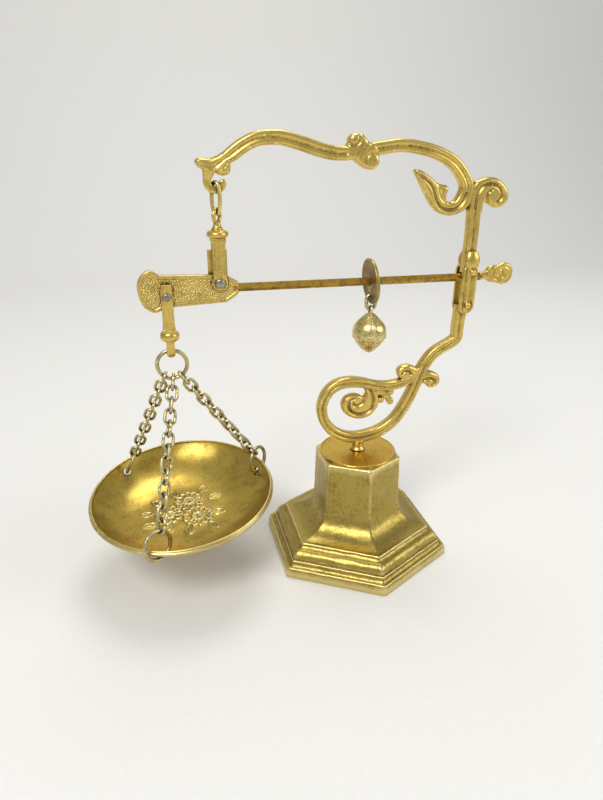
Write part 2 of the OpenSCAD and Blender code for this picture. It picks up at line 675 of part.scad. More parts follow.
base_casting();
cap_disc();
fixing_washer();
fixing_nut();
lower_scroll();
front_guide_plate();
rear_guide_plate();
upper_scroll();
hook_link();
upper_shackle();
fulcrum_pin();
beam();
load_pin();
load_shackle();
load_ring();
chain_left();
chain_right();
chain_front();
pan();
pan_ring_left();
pan_ring_right();
pan_ring_front();
poise_disc();
poise_link();
poise_ball();
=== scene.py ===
import random
from math import asin, atan2, ceil, copysign, cos, degrees, dist, exp, hypot, pi, radians, sin, sqrt, tau

import bmesh
import bpy
import numpy as np
from mathutils import Matrix, Vector, geometry, noise


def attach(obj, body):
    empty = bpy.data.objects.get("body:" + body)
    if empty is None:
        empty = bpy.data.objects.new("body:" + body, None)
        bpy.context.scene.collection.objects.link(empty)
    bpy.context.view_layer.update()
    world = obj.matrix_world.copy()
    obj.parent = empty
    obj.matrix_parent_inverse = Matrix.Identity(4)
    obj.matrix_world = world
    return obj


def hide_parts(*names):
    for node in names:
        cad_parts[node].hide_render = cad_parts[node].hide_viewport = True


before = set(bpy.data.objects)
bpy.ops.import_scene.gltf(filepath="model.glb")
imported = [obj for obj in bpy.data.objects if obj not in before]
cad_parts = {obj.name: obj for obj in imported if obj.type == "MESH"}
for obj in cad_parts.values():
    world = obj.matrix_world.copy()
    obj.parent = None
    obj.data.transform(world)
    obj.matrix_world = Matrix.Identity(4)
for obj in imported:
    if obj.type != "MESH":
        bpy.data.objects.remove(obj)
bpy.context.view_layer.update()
print("frame loaded:", len(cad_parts), "nodes")

mm = 0.001



def newObject(name, data):
    thing = bpy.data.objects.new(name, data)
    bpy.context.scene.collection.objects.link(thing)
    return thing


def shift(x, y, z):
    return Matrix.Translation((x, y, z))


def spin(angle, axis):
    return Matrix.Rotation(radians(angle), 4, axis)  # from degrees


# Camera: where the photograph was taken from, in units of 1.25 mm from the middle of the foot's bottom

view = {"azimuth": -13.78, "elevation": 23.02, "roll": 0.39, "distance": 217.13, "right": 18.63,
        "up": -49.26, "unit": 1.25 * mm, "lens": 27.07}


def placeCamera():
    turn, tip, roll = (radians(view[k]) for k in ("azimuth", "elevation", "roll"))
    back = Vector((sin(turn) * cos(tip), -cos(turn) * cos(tip), sin(tip)))
    level = (-back).cross(Vector((0, 0, 1))).normalized()
    rise = level.cross(-back)
    right = level * cos(roll) + rise * sin(roll)
    up = rise * cos(roll) - level * sin(roll)
    place = back * view["distance"] - right * view["right"] - up * view["up"]
    data = bpy.data.cameras.new("camera")
    data.lens, data.sensor_width = view["lens"], 36
    camera = newObject("camera", data)
    camera.matrix_world = shift(*place * view["unit"]) @ Matrix((right, up, back)).transposed().to_4x4()
    bpy.context.scene.camera = camera


placeCamera()

# Materials


def linear(colour):
    parts = [int(colour[i:i + 2], 16) / 255 for i in (1, 3, 5)]
    return [c / 12.92 if c <= 0.04045 else ((c + 0.055) / 1.055) ** 2.4 for c in parts] + [1]


def addNode(tree, kind, inputs=None, **settings):
    node = tree.nodes.new("ShaderNode" + kind)
    for key, value in settings.items():
        setattr(node, key, value)
    for socket, value in (inputs or {}).items():
        if isinstance(value, bpy.types.NodeSocket):
            tree.links.new(value, node.inputs[socket])
        else:
            node.inputs[socket].default_value = value
    return node


def perMetre(size):
    return 1 / (size * mm)  # a pattern's scale from the real size of one cell in millimetres


def newMaterial(name):
    material = bpy.data.materials.new(name)
    material.use_nodes = True
    material.node_tree.nodes.clear()
    return material, material.node_tree


# What most of the metals share: sizes in millimetres, then where tarnish with painted shade and wear with
# painted highlight begin, and their strength
usual = {"patch": 6, "grain": 0.7, "pit": 1.2, "shelter": 1, "shelterFrom": 0.3, "shelterTo": 0.95,
         "cloudFrom": 0.4, "cloudTo": 0.7, "cloud": 0.4, "mottle": 0.6, "edgeFrom": 0.51, "edgeTo": 0.57,
         "edge": 0.7, "rough": 0.33, "roughAged": 0.52, "grainDepth": 0.03, "pitDepth": 0}


def agedMetalWithPaintedLight(name, **changes):
    look = {**usual, **changes}
    material, tree = newMaterial(name)
    place = addNode(tree, "TexCoord").outputs["Object"]
    patches = addNode(tree, "TexNoise", {"Vector": place, "Scale": perMetre(look["patch"]), "Detail": 5,
                                         "Roughness": 0.6})
    grain = addNode(tree, "TexNoise", {"Vector": place, "Scale": perMetre(look["grain"]), "Detail": 3})
    pits = addNode(tree, "TexVoronoi", {"Vector": place, "Scale": perMetre(look["pit"]), "Randomness": 1})
    # tarnish stays in cloudy patches, and in hollows found by ambient occlusion, where it is partly tarnish
    # and partly painted shade; edges are made bright, partly as wear and partly as a painted highlight
    shelter = addNode(tree, "AmbientOcclusion", {"Distance": look["shelter"] * mm}, samples=8)
    hollow = addNode(tree, "MapRange", {"Value": shelter.outputs["AO"], "From Min": look["shelterFrom"],
                                        "From Max": look["shelterTo"], "To Min": 1, "To Max": 0})
    cloud = addNode(tree, "MapRange", {"Value": patches.outputs["Fac"], "From Min": look["cloudFrom"],
                                       "From Max": look["cloudTo"], "To Min": 0, "To Max": look["cloud"]})
    both = addNode(tree, "Math", {0: hollow.outputs[0], 1: cloud.outputs[0]}, operation="ADD",
                   use_clamp=True)
    fleck = addNode(tree, "MapRange", {"Value": grain.outputs["Fac"], "From Min": 0.35, "From Max": 0.7,
                                       "To Min": -0.5, "To Max": 0.5})
    mottle = addNode(tree, "Math", {0: fleck.outputs[0], 1: look["mottle"], 2: both.outputs[0]},
                     operation="MULTIPLY_ADD", use_clamp=True)
    # edges found by pointiness, or by a raised attribute, take the pale worn colour: partly real wear,
    # partly a painted highlight
    edge = addNode(tree, "NewGeometry").outputs["Pointiness"]
    if "raised" in look:
        edge = addNode(tree, "Attribute", attribute_name=look["raised"]).outputs["Fac"]
    edgeWearAndHighlight = addNode(tree, "MapRange", {"Value": edge, "From Min": look["edgeFrom"],
                                        "From Max": look["edgeTo"], "To Min": 0, "To Max": look["edge"]})
    # clean to tarnish colour by mottle, which carries the hollows' painted shade as well as real tarnish and
    # grain
    agedAndShaded = addNode(tree, "Mix", {0: mottle.outputs[0], 6: linear(look["clean"]), 7: linear(look["tarnish"])},
                   data_type="RGBA")
    worn = addNode(tree, "Mix", {0: edgeWearAndHighlight.outputs[0], 6: agedAndShaded.outputs[2], 7: linear(look["worn"])},
                   data_type="RGBA")
    rough = addNode(tree, "MapRange", {"Value": mottle.outputs[0], "To Min": look["rough"],
                                       "To Max": look["roughAged"]})
    dip = addNode(tree, "MapRange", {"Value": pits.outputs["Distance"], "From Min": 0, "From Max": 0.16,
                                     "To Min": -look["pitDepth"], "To Max": 0})
    relief = addNode(tree, "Math", {0: grain.outputs["Fac"], 1: look["grainDepth"], 2: dip.outputs[0]},
                     operation="MULTIPLY_ADD")
    bump = addNode(tree, "Bump", {"Height": relief.outputs[0], "Distance": mm, "Strength": 1})
    shader = addNode(tree, "BsdfPrincipled", {"Base Color": worn.outputs[2], "Metallic": 1,
                                              "Roughness": rough.outputs[0], "Normal": bump.outputs[0]})
    addNode(tree, "OutputMaterial", {"Surface": shader.outputs[0]})
    return material


# Sand-cast yellow brass, filed and polished by hand: satin gold with a fine skin, olive tarnish and painted
# shade in its hollows, edges painted bright as wear and highlight
castBrass = agedMetalWithPaintedLight("cast_brass", clean="#ddbf68", tarnish="#4a3a14", worn="#f7ebba", shelter=1.3,
    shelterFrom=0.4, shelterTo=0.97, cloudFrom=0.44, cloudTo=0.76, mottle=0.42, edgeFrom=0.513, edgeTo=0.58,
    grainDepth=0.035)
# The foot's casting, scratch-brushed: more lemon, speckled, its corners bright from handling and a painted
# highlight
footBrass = agedMetalWithPaintedLight("brushed_cast_brass", clean="#b09a50", tarnish="#4d401a", worn="#eddc98", patch=9,
    grain=0.9, shelter=1.4, shelterFrom=0.35, shelterTo=0.96, cloudTo=0.8, edgeFrom=0.509, edgeTo=0.535,
    edge=0.8, rough=0.36, grainDepth=0.045)
# Sheet brass, pressed into a dish: smoother, softly clouded, its raised lines and rim painted bright as wear
# and highlight, its hollows darkened as tarnish and painted shade
pressedBrass = agedMetalWithPaintedLight("pressed_brass", clean="#c9ac52", tarnish="#3f3212", worn="#f4e7ac", shelter=1.1,
    shelterFrom=0.45, shelterTo=0.99, cloud=0.42, mottle=0.45, raised="raised", edgeFrom=0.15, edgeTo=0.9,
    edge=0.9, rough=0.31, roughAged=0.48, grainDepth=0.022)
# Turned brass, kept bright: warmer and cleaner than the casting below it
turnedBrass = agedMetalWithPaintedLight("turned_brass", clean="#e2bb4c", tarnish="#866823", worn="#f6e6a2", patch=4,
    grain=0.8, shelter=0.9, shelterFrom=0.2, shelterTo=0.9, cloudFrom=0.45, cloudTo=0.75, cloud=0.35,
    mottle=0.5, edgeTo=0.6, edge=0.6, rough=0.28, roughAged=0.44, grainDepth=0.02)
# Drawn brass wire, bent and left to dull: paler and greyer than the castings
drawnBrass = agedMetalWithPaintedLight("drawn_brass", clean="#c0b078", tarnish="#4a3f22", worn="#f0e7bd", patch=2.5,
    grain=0.5, pit=1.1, cloudFrom=0.38, cloud=0.55, mottle=0.5, edgeFrom=0.52, edgeTo=0.59, rough=0.3,
    roughAged=0.5, grainDepth=0.018, pitDepth=0.008)
# Sheet brass cut into a disc: brown-gold, darkened as painted shade
shadedSheetBrass = agedMetalWithPaintedLight("shaded_sheet_brass", clean="#92702a", tarnish="#352a10", worn="#e2d190", patch=4, grain=0.6,
    shelter=1.2, cloudFrom=0.36, cloudTo=0.66, cloud=0.7, mottle=0.5, edge=0.5, rough=0.36,
    grainDepth=0.016, pitDepth=0.008)
# Square brass bar, filed by hand and handled: deep gold, dark in cloudy patches, and in its hollows as
# tarnish and painted shade
filedBrass = agedMetalWithPaintedLight("filed_brass", clean="#b68c2a", tarnish="#3f2e0b", worn="#e0bd62", patch=3,
    grain=0.9, shelter=0.8, cloudFrom=0.42, cloudTo=0.6, cloud=0.8, edge=0.3, rough=0.3, roughAged=0.46,
    pitDepth=0.008)
# Cast brass weight with a pale dry skin, bright on its seams from wear and a painted highlight
paleBrass = agedMetalWithPaintedLight("pale_brass", clean="#e6d28c", tarnish="#5f5022", worn="#fbf2c8", patch=2.4,
    grain=0.6, pit=1, cloudTo=0.66, cloud=0.6, edgeTo=0.56, edge=0.9, rough=0.32, roughAged=0.5,
    pitDepth=0.01)
# Turned mild steel pins, washer and nut, never plated: dull grey
turnedSteel = agedMetalWithPaintedLight("turned_steel", clean="#a9a69d", tarnish="#5f594d", worn="#dedbd2", patch=2.2,
    grain=0.25, pit=1, shelter=0.8, shelterTo=0.9, cloud=0.6, mottle=0.35, edgeFrom=0.53, edgeTo=0.62,
    edge=0.5, roughAged=0.5, grainDepth=0.01, pitDepth=0.01)
print("materials made")

# Shapes: each is a pair of vertices in millimetres and faces


def spline(points, steps):
    made, last = [], len(points) - 1
    for i in range(last):
        around = points[max(i - 1, 0)], points[i], points[i + 1], points[min(i + 2, last)]
        for k in range(steps):
            t = k / steps
            made.append([0.5 * (2 * b + (c - a) * t + (2 * a - 5 * b + 4 * c - d) * t ** 2
                                + (3 * b - a - 3 * c + d) * t ** 3) for a, b, c, d in zip(*around)])
    return made + [list(points[-1])]


def skin(rows, loop=False):
    count = len(rows[0])
    verts = [tuple(p) for row in rows for p in row]
    faces = []
    for i in range(len(rows) - (0 if loop else 1)):
        here, there = i * count, (i + 1) % len(rows) * count
        for j in range(count):
            k = (j + 1) % count
            faces.append((here + j, here + k, there + k, there + j))
    if not loop:
        faces += [tuple(range(count))[::-1], tuple(range((len(rows) - 1) * count, len(rows) * count))]
    return verts, faces


def moved(shape, matrix):
    return [tuple(matrix @ Vector(v)) for v in shape[0]], shape[1]


def circle(radius, height, sides, turn=0):
    return [(radius * cos(turn + tau * k / sides), radius * sin(turn + tau * k / sides), height)
            for k in range(sides)]


def turned(profile, sides=48, loop=False):
    # a turned shape about Z, from its profile of [radius, height]
    return skin([circle(r, z, sides) for r, z in profile], loop)


def upright(x, z, y=0):
    return shift(x, y, z) @ spin(90, "X")


def arc(x, z, radius, start, end, steps=6, squash=1):
    turns = [radians(start + (end - start) * k / steps) for k in range(steps + 1)]
    return [(x + radius * cos(a), z + squash * radius * sin(a)) for a in turns]


def tube(path, radius, sides=14, closed=False, normal=(0, 1, 0), flat=1):
    # a round bar along a path; radius is a number or one for each point, flat thins it along the normal
    points = [Vector(p) for p in path]
    count, rows, out = len(points), [], Vector(normal)
    for i, point in enumerate(points):
        before = points[i - 1] if closed else points[max(i - 1, 0)]
        after = points[(i + 1) % count] if closed else points[min(i + 1, count - 1)]
        along = (after - before).normalized()
        out = (out - along * out.dot(along)).normalized()
        side = along.cross(out)
        r = radius[i] if isinstance(radius, (list, tuple)) else radius
        rows.append([point + r * (cos(tau * k / sides) * side + flat * sin(tau * k / sides) * out)
                     for k in range(sides)])
    return skin(rows, loop=closed)


def dome(start, end, low, high, crest, steps=8):
    # one round ridge of a section, from start to end across the bar; crest above 2 makes it flatter
    middle, half, row = (start + end) / 2, (end - start) / 2, []
    for k in range(steps + 1):
        s = -cos(pi * k / steps)
        floor = low if s < 0 else high
        row.append((middle + half * s, floor + (1 - floor) * max(0, 1 - abs(s) ** crest) ** (1 / crest)))
    return row


def bothFaces(front):
    return front + [(u, -v) for u, v in reversed(front)]


def band(points, thick, section, steps=8, full=3):
    # a flat bar that follows points of [x, z, width], with a share of the thickness as a fourth number
    path = spline([list(p) + [1] * (4 - len(p)) for p in points], steps)
    rows = []
    for i, (x, z, width, share) in enumerate(path):
        a, b = path[max(i - 1, 0)], path[min(i + 1, len(path) - 1)]
        length = hypot(b[0] - a[0], b[1] - a[1])
        across = (-(b[1] - a[1]) / length, (b[0] - a[0]) / length)
        deep = thick / 2 * share * min(1, (width / full) ** 0.5)
        rows.append([(x - across[0] * u * width, v * deep, z - across[1] * u * width) for u, v in section])
    return skin(rows)


def button(x, z, radius, thick):
    # a round boss with domed faces
    half = thick / 2
    edge = half * 0.45
    front = [(0.02, half)] + [(radius * sin(radians(a)), edge + (half - edge) * cos(radians(a)))
                              for a in range(12, 91, 13)]
    return moved(turned(bothFaces(front), 40), upright(x, z))


def farFrom(points, line):
    # each point's distance from a line of points
    best = np.full(len(points), 1e9)
    for a, b in zip(line, line[1:]):
        a, run = np.array(a), np.array(b) - np.array(a)
        t = np.clip((points - a) @ run / max(run @ run, 1e-12), 0, 1)
        best = np.minimum(best, np.hypot(*(points - a - t[:, None] * run).T))
    return best


def within(points, line):
    # which points lie inside a closed line
    hit = np.zeros(len(points), bool)
    x, z = points.T
    for (ax, az), (bx, bz) in zip(line, line[1:]):
        if az != bz:
            hit ^= ((az > z) != (bz > z)) & (x < (bx - ax) * (z - az) / (bz - az) + ax)
    return hit


def carved(outline, thick, lines=(), low=0.3, bevel=1.6, spacing=0.32):
    # a cast form swollen inside a closed outline of [x, z], with grooves of (line, half width, depth share)
    closed = spline([outline[-1]] + outline + outline[:2], 5)
    rim = closed[5:-6]
    loop = rim + rim[:1]
    spans = [np.arange(a, b, spacing) for a, b in zip(np.min(loop, 0), np.max(loop, 0))]
    grid = np.stack(np.meshgrid(*spans), -1).reshape(-1, 2)
    grid = grid[within(grid, loop)]
    grid = grid[farFrom(grid, loop) > spacing * 0.5]
    flat = [Vector(q) for q in rim] + [Vector(q) for q in grid]
    verts, _, faces, *_ = geometry.delaunay_2d_cdt(flat, [], [list(range(len(rim)))], 1, 1e-5)
    points = np.array([tuple(v) for v in verts])
    deep = np.clip(farFrom(points, loop) / bevel, 0, 1)
    height = low + (1 - low) * np.sqrt(1 - (1 - deep) ** 2)
    for line, half, depth in lines:
        height -= depth * np.exp(-(farFrom(points, spline(line, 5)) / half) ** 2)
    height = np.maximum(height, 0.12) * thick / 2
    count = len(points)
    solid = [(x, side * h, z) for side in (-1, 1) for (x, z), h in zip(points, height)]
    back = [tuple(k + count for k in reversed(face)) for face in faces]
    edges = dict.fromkeys(pair for face in faces for pair in zip(face, face[1:] + face[:1]))
    walls = [(b, a, a + count, b + count) for a, b in edges if (b, a) not in edges]
    return solid, [tuple(face) for face in faces] + back + walls


def newSolid(name, shapes):
    mesh = bpy.data.meshes.new(name)
    form = bmesh.new()
    for verts, faces in shapes:
        made = [form.verts.new(Vector(v) * mm) for v in verts]
        for face in faces:
            form.faces.new([made[k] for k in face])
    bmesh.ops.recalc_face_normals(form, faces=form.faces)
    form.to_mesh(mesh)
    form.free()
    return newObject(name, mesh)


def makePiece(name, shapes, finish, body, node, voxel=0, soften=0, cutters=()):
    piece = newSolid(name, shapes)
    if voxel:
        remesh = piece.modifiers.new("fuse", "REMESH")
        remesh.mode, remesh.voxel_size = "VOXEL", voxel * mm
    if soften:
        ease = piece.modifiers.new("ease", "SMOOTH")
        ease.factor, ease.iterations = 0.5, soften
    tools = [newSolid(name + "_tool", [shape]) for shape in cutters]
    for tool in tools:
        cut = piece.modifiers.new("cut", "BOOLEAN")
        cut.operation, cut.solver, cut.object = "DIFFERENCE", "EXACT", tool
    if piece.modifiers:
        applied = bpy.data.meshes.new_from_object(piece.evaluated_get(bpy.context.evaluated_depsgraph_get()))
        piece.modifiers.clear()
        piece.data = applied
    for tool in tools:
        bpy.data.objects.remove(tool)
    for face in piece.data.polygons:
        face.use_smooth = True
    piece.data.materials.clear()
    piece.data.materials.append(finish)
    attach(piece, body)
    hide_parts(node)
    print("made", name, len(piece.data.polygons), "faces")
    return piece


# Foot: a hollow six-sided casting with soft corners

foot = {"radius": 40.5, "band": 4, "flareRadius": 31, "flareStart": 12.4, "columnRadius": 18.6,
        "columnStart": 27, "columnTop": 18.2, "height": 43.6, "wall": 3,
        "corner": 1.3, "lowCorner": 0.8, "lowTop": 12, "bore": 2.7}


def hexRow(radius, height, corner, sideSteps=26, cornerSteps=4):
    # a hexagon with round corners; radius is where the sharp ones would be
    inset = corner / cos(radians(30))

    def onCorner(k, bearing):
        a = radians(30 + 60 * k)
        b = a + radians(bearing)
        return ((radius - inset) * cos(a) + corner * cos(b),
                (radius - inset) * sin(a) + corner * sin(b), height)

    row = []
    for k in range(6):
        row += [onCorner(k, -30 + 60 * s / cornerSteps) for s in range(cornerSteps + 1)]
        start, end = Vector(row[-1]), Vector(onCorner(k + 1, -30))
        row += [tuple(start.lerp(end, s / sideSteps)) for s in range(1, sideSteps)]
    return row


def makeFoot():
    f = foot

    def flare(inset):
        # from the mouldings up to the column, steeper as it rises
        drop, climb = f["flareRadius"] - f["columnRadius"], f["columnStart"] - f["flareStart"]
        return [(f["flareRadius"] - inset - drop * (1 - (1 - k / 20) ** 2.6),
                 f["flareStart"] + climb * (k / 20) ** 1.5) for k in range(21)]

    outside = [(f["radius"] - 0.3, 0), (f["radius"], 0.35), (f["radius"] - 0.5, 3.3)]
    outside += arc(f["radius"] - 1.15, 3.75, 0.55, 0, 120, 6)  # rolled bead on the band
    outside += [(38.75, 4.2), (38.3, 4.3), (37.9, 4.6), (37.45, 5.1), (37.2, 5.6)]  # cavetto
    outside += arc(36.7, 5.95, 0.5, -10, 110, 6)  # small bead
    outside += [(36.25, 6.5)] + arc(32.7, 6.6, 3.7, 4, 82, 12, 1.02)  # ovolo
    outside += [(32.7, 10.7), (32.2, 11), (31.95, 11.35)]
    outside += arc(31.45, 11.95, 0.55, -50, 115, 7)  # fillet bead
    outside += flare(0)[1:]
    taper, rise = f["columnRadius"] - f["columnTop"], f["height"] - 0.6 - f["columnStart"]
    outside += [(f["columnTop"] + taper * (1 - k / 6), f["columnStart"] + rise * (k / 6))
                for k in range(1, 7)]
    outside += [(f["columnTop"] - 0.2, f["height"] - 0.3), (f["columnTop"] - 0.6, f["height"] - 0.05),
                (f["columnTop"] - 1, f["height"])]
    inside = [(f["columnRadius"] - 0.8 - f["wall"], f["height"] - f["wall"])] + flare(f["wall"])[::-1]
    inside += [(f["flareRadius"] - f["wall"] + 1, f["flareStart"] - 1),
               (f["radius"] - f["wall"] - 3, f["band"] + 1), (f["radius"] - f["wall"] - 1, 0)]
    rows = [hexRow(r, z, f["corner"] * (f["lowCorner"] if z < f["lowTop"] else 1)) for r, z in outside]
    # the mouldings waver as a sand casting's do, and stay flat where they stand and where the cap lies
    for row in rows:
        for k, (x, y, z) in enumerate(row):
            ease = min(1, z / 2, (f["height"] - z) / 2)
            out = 1 + (0.16 * noise.noise(Vector((x, y, z * 2)) * 0.35)
                       + 0.07 * noise.noise(Vector((x, y, z)) * 1.1)) * ease / hypot(x, y)
            row[k] = (x * out, y * out, z)
    turn = atan2(rows[0][0][1], rows[0][0][0])
    rows += [circle(f["bore"], z, len(rows[0]), turn) for z in (f["height"], f["height"] - f["wall"])]
    rows += [hexRow(r, z, f["corner"]) for r, z in inside]
    makePiece("foot", [skin(rows, loop=True)], footBrass, "stand", "base_casting")


makeFoot()

cap = {"radius": 15.9, "thick": 1.2, "rim": 0.9, "recess": 0.35, "bore": 2.6}


def makeCap():
    z, r, t = foot["height"], cap["radius"], cap["thick"]
    profile = [(cap["bore"], z), (r - 0.2, z), (r, z + 0.25), (r, z + t - 0.3)]
    profile += arc(r - cap["rim"] / 2, z + t - 0.45, 0.45, 0, 160, 6)
    profile += [(r - cap["rim"] - 0.25, z + t - cap["recess"]), (r * 0.6, z + t - cap["recess"] + 0.03),
                (6, z + t - cap["recess"] + 0.1), (3.4, z + t - 0.08), (cap["bore"], z + t - 0.05)]
    makePiece("cap_plate", [turned(profile, 96, loop=True)], turnedBrass, "stand", "cap_disc")


makeCap()

for node in ("fixing_washer", "fixing_nut"):
    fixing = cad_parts[node]
    fixing.data.materials.clear()
    fixing.data.materials.append(turnedSteel)

# Arm: two scroll castings joined by the guide plates; their outlines are in millimetres above the cap

arm = {"foot": 44.8, "thick": 4.4, "slotTop": 117.188, "slotBottom": 104.383, "postX": 40.7,
       "postLean": 0.065, "stud": 2.5, "studLength": 12, "hookX": -54.6, "voxel": 0.24}
# sections of a cast bar: two ridges parted by a groove, and a plain round one
evenRidges = bothFaces(dome(-0.5, 0, 0.32, 0.5, 2.2) + dome(0, 0.5, 0.5, 0.32, 2.2)[1:])
plainBar = bothFaces(dome(-0.5, 0.5, 0.4, 0.4, 2.4, 12))


def postAt(z):
    return arm["postX"] + arm["postLean"] * (z - arm["slotBottom"])


def lift(points):
    return [[p[0], p[1] + arm["foot"]] + list(p[2:]) for p in points]


def cast(outline, lines, share=1.0, low=0.3):
    cuts = [(lift(line), half, depth) for line, half, depth in lines]
    return carved(lift(outline), arm["thick"] * share, cuts, low)


def makeLowerScroll():
    thick, z0 = arm["thick"], arm["foot"]
    joint = arm["slotBottom"]
    loop = [[postAt(joint) - 0.1, joint - z0, 5], [postAt(z0 + 51) - 0.1, 51, 4.7], [39.9, 46.2, 4.6],
            [37.2, 43.9, 4.6], [31.2, 40.6, 4.6], [28.4, 37.6, 4.6], [26.2, 34.2, 4.6], [24.6, 30, 4.6],
            [22.8, 25, 4.6], [20.8, 20.6, 4.8], [18.2, 15.8, 4.8], [14.6, 11.2, 4.8], [9.2, 7.6, 4.8],
            [2.4, 5.8, 4.8], [-4.4, 6, 4.6], [-10.6, 9, 4.4], [-14.8, 14.4, 4.2], [-16.1, 20.6, 4.2],
            [-14.2, 26.2, 4.3], [-10.2, 29.6, 4.4], [-5, 30.5, 4.4], [0.6, 29.8, 4], [6.2, 28.2, 3.8],
            [11.8, 27.6, 3.7], [17.4, 28.4, 3.8], [21.8, 30.6, 3.4], [24.6, 33.6, 2.6]]
    volute = [[5.2, 27.6], [7, 25], [8, 22.5], [7.8, 19.8], [6.3, 17], [4, 15], [1, 14.2], [-2, 14.4],
              [-5, 15.8], [-7.2, 18], [-8.1, 20.6], [-7.6, 22.8], [-6.2, 24.4], [-4, 25.3], [-2, 25.3],
              [-0.2, 24.7], [0.9, 23.8], [1.9, 24.5], [2.1, 25.6], [1.6, 26.8], [1.4, 28], [3, 29]]
    coils = [([[1, 29.2], [3.2, 27.2], [4.8, 25], [5.2, 22.5], [5, 19.8], [3.6, 17.7], [1.2, 16.7],
             [-1.5, 16.7], [-3.6, 17.8], [-4.9, 19.6], [-5.1, 21.6], [-4.2, 23], [-2.8, 23.5]], 0.55, 0.5),
             ([[1.4, 23.8], [1.1, 22.4], [0.1, 21.1], [-1.4, 20.4], [-2.8, 20.9], [-3.1, 22]], 0.5, 0.45)]
    leftCurl = [[15.1, 33], [15.5, 34.6], [17.2, 35.8], [19.5, 36.2], [21.4, 35.6], [23, 34.8], [24.5, 33],
                [23.5, 30.5], [21, 29.4], [18.5, 29.6], [16.2, 30.8]]
    leftEye = [([[20.7, 30.4], [20.8, 32.2], [19.6, 33.6], [17.9, 33.5], [17, 32.4]], 0.5, 0.42)]
    rightCurl = [[26.2, 31], [27.4, 32.2], [28.8, 32.8], [30.5, 32.4], [32.8, 31.2], [34.1, 29.4],
                 [34.2, 27.6], [33, 26], [31, 25.2], [29.3, 25.6], [28.1, 26.8], [27, 27.4], [25.6, 28]]
    rightEye = [([[26.4, 28.9], [28.2, 29.7], [30.2, 29.5], [31.6, 28.5], [31.7, 27.3], [30.5, 26.7]], 0.5,
                0.42)]

    shapes = [band(lift(loop), thick, evenRidges), cast(volute, coils), cast(leftCurl, leftEye),
              cast(rightCurl, rightEye)]
    bud = [[6.5, 26, 3.4], [9, 25, 2.8], [11, 23.8, 2.4], [12, 22, 2]]
    shapes.append(band(lift(bud), thick * 0.8, plainBar, 6))
    for x, z, r in ((8.9, 21.7, 1.3), (12.9, 20.9, 1.5), (12.7, 24.9, 1.5), (10.9, 23.4, 1.3)):
        shapes.append(button(x, z0 + z, r, thick * 0.9))
    # the shoe that stands on the cap, and the stud below it
    shoe = [(0.1, -0.02), (3, 0), (3.15, 0.5), (2.6, 1), (2.2, 1.6), (2.15, 2.6), (2.4, 3.6), (2.8, 4.6),
            (0.1, 4.8)]
    shapes.append(turned([(r, z + z0) for r, z in shoe], 40))
    r, end = arm["stud"], z0 - arm["studLength"]
    shapes.append(turned([(r, z0 + 1), (r, end + 0.4), (r - 0.3, end)], 32))
    makePiece("lower_casting", shapes, castBrass, "stand", "lower_scroll", arm["voxel"], 2)


makeLowerScroll()


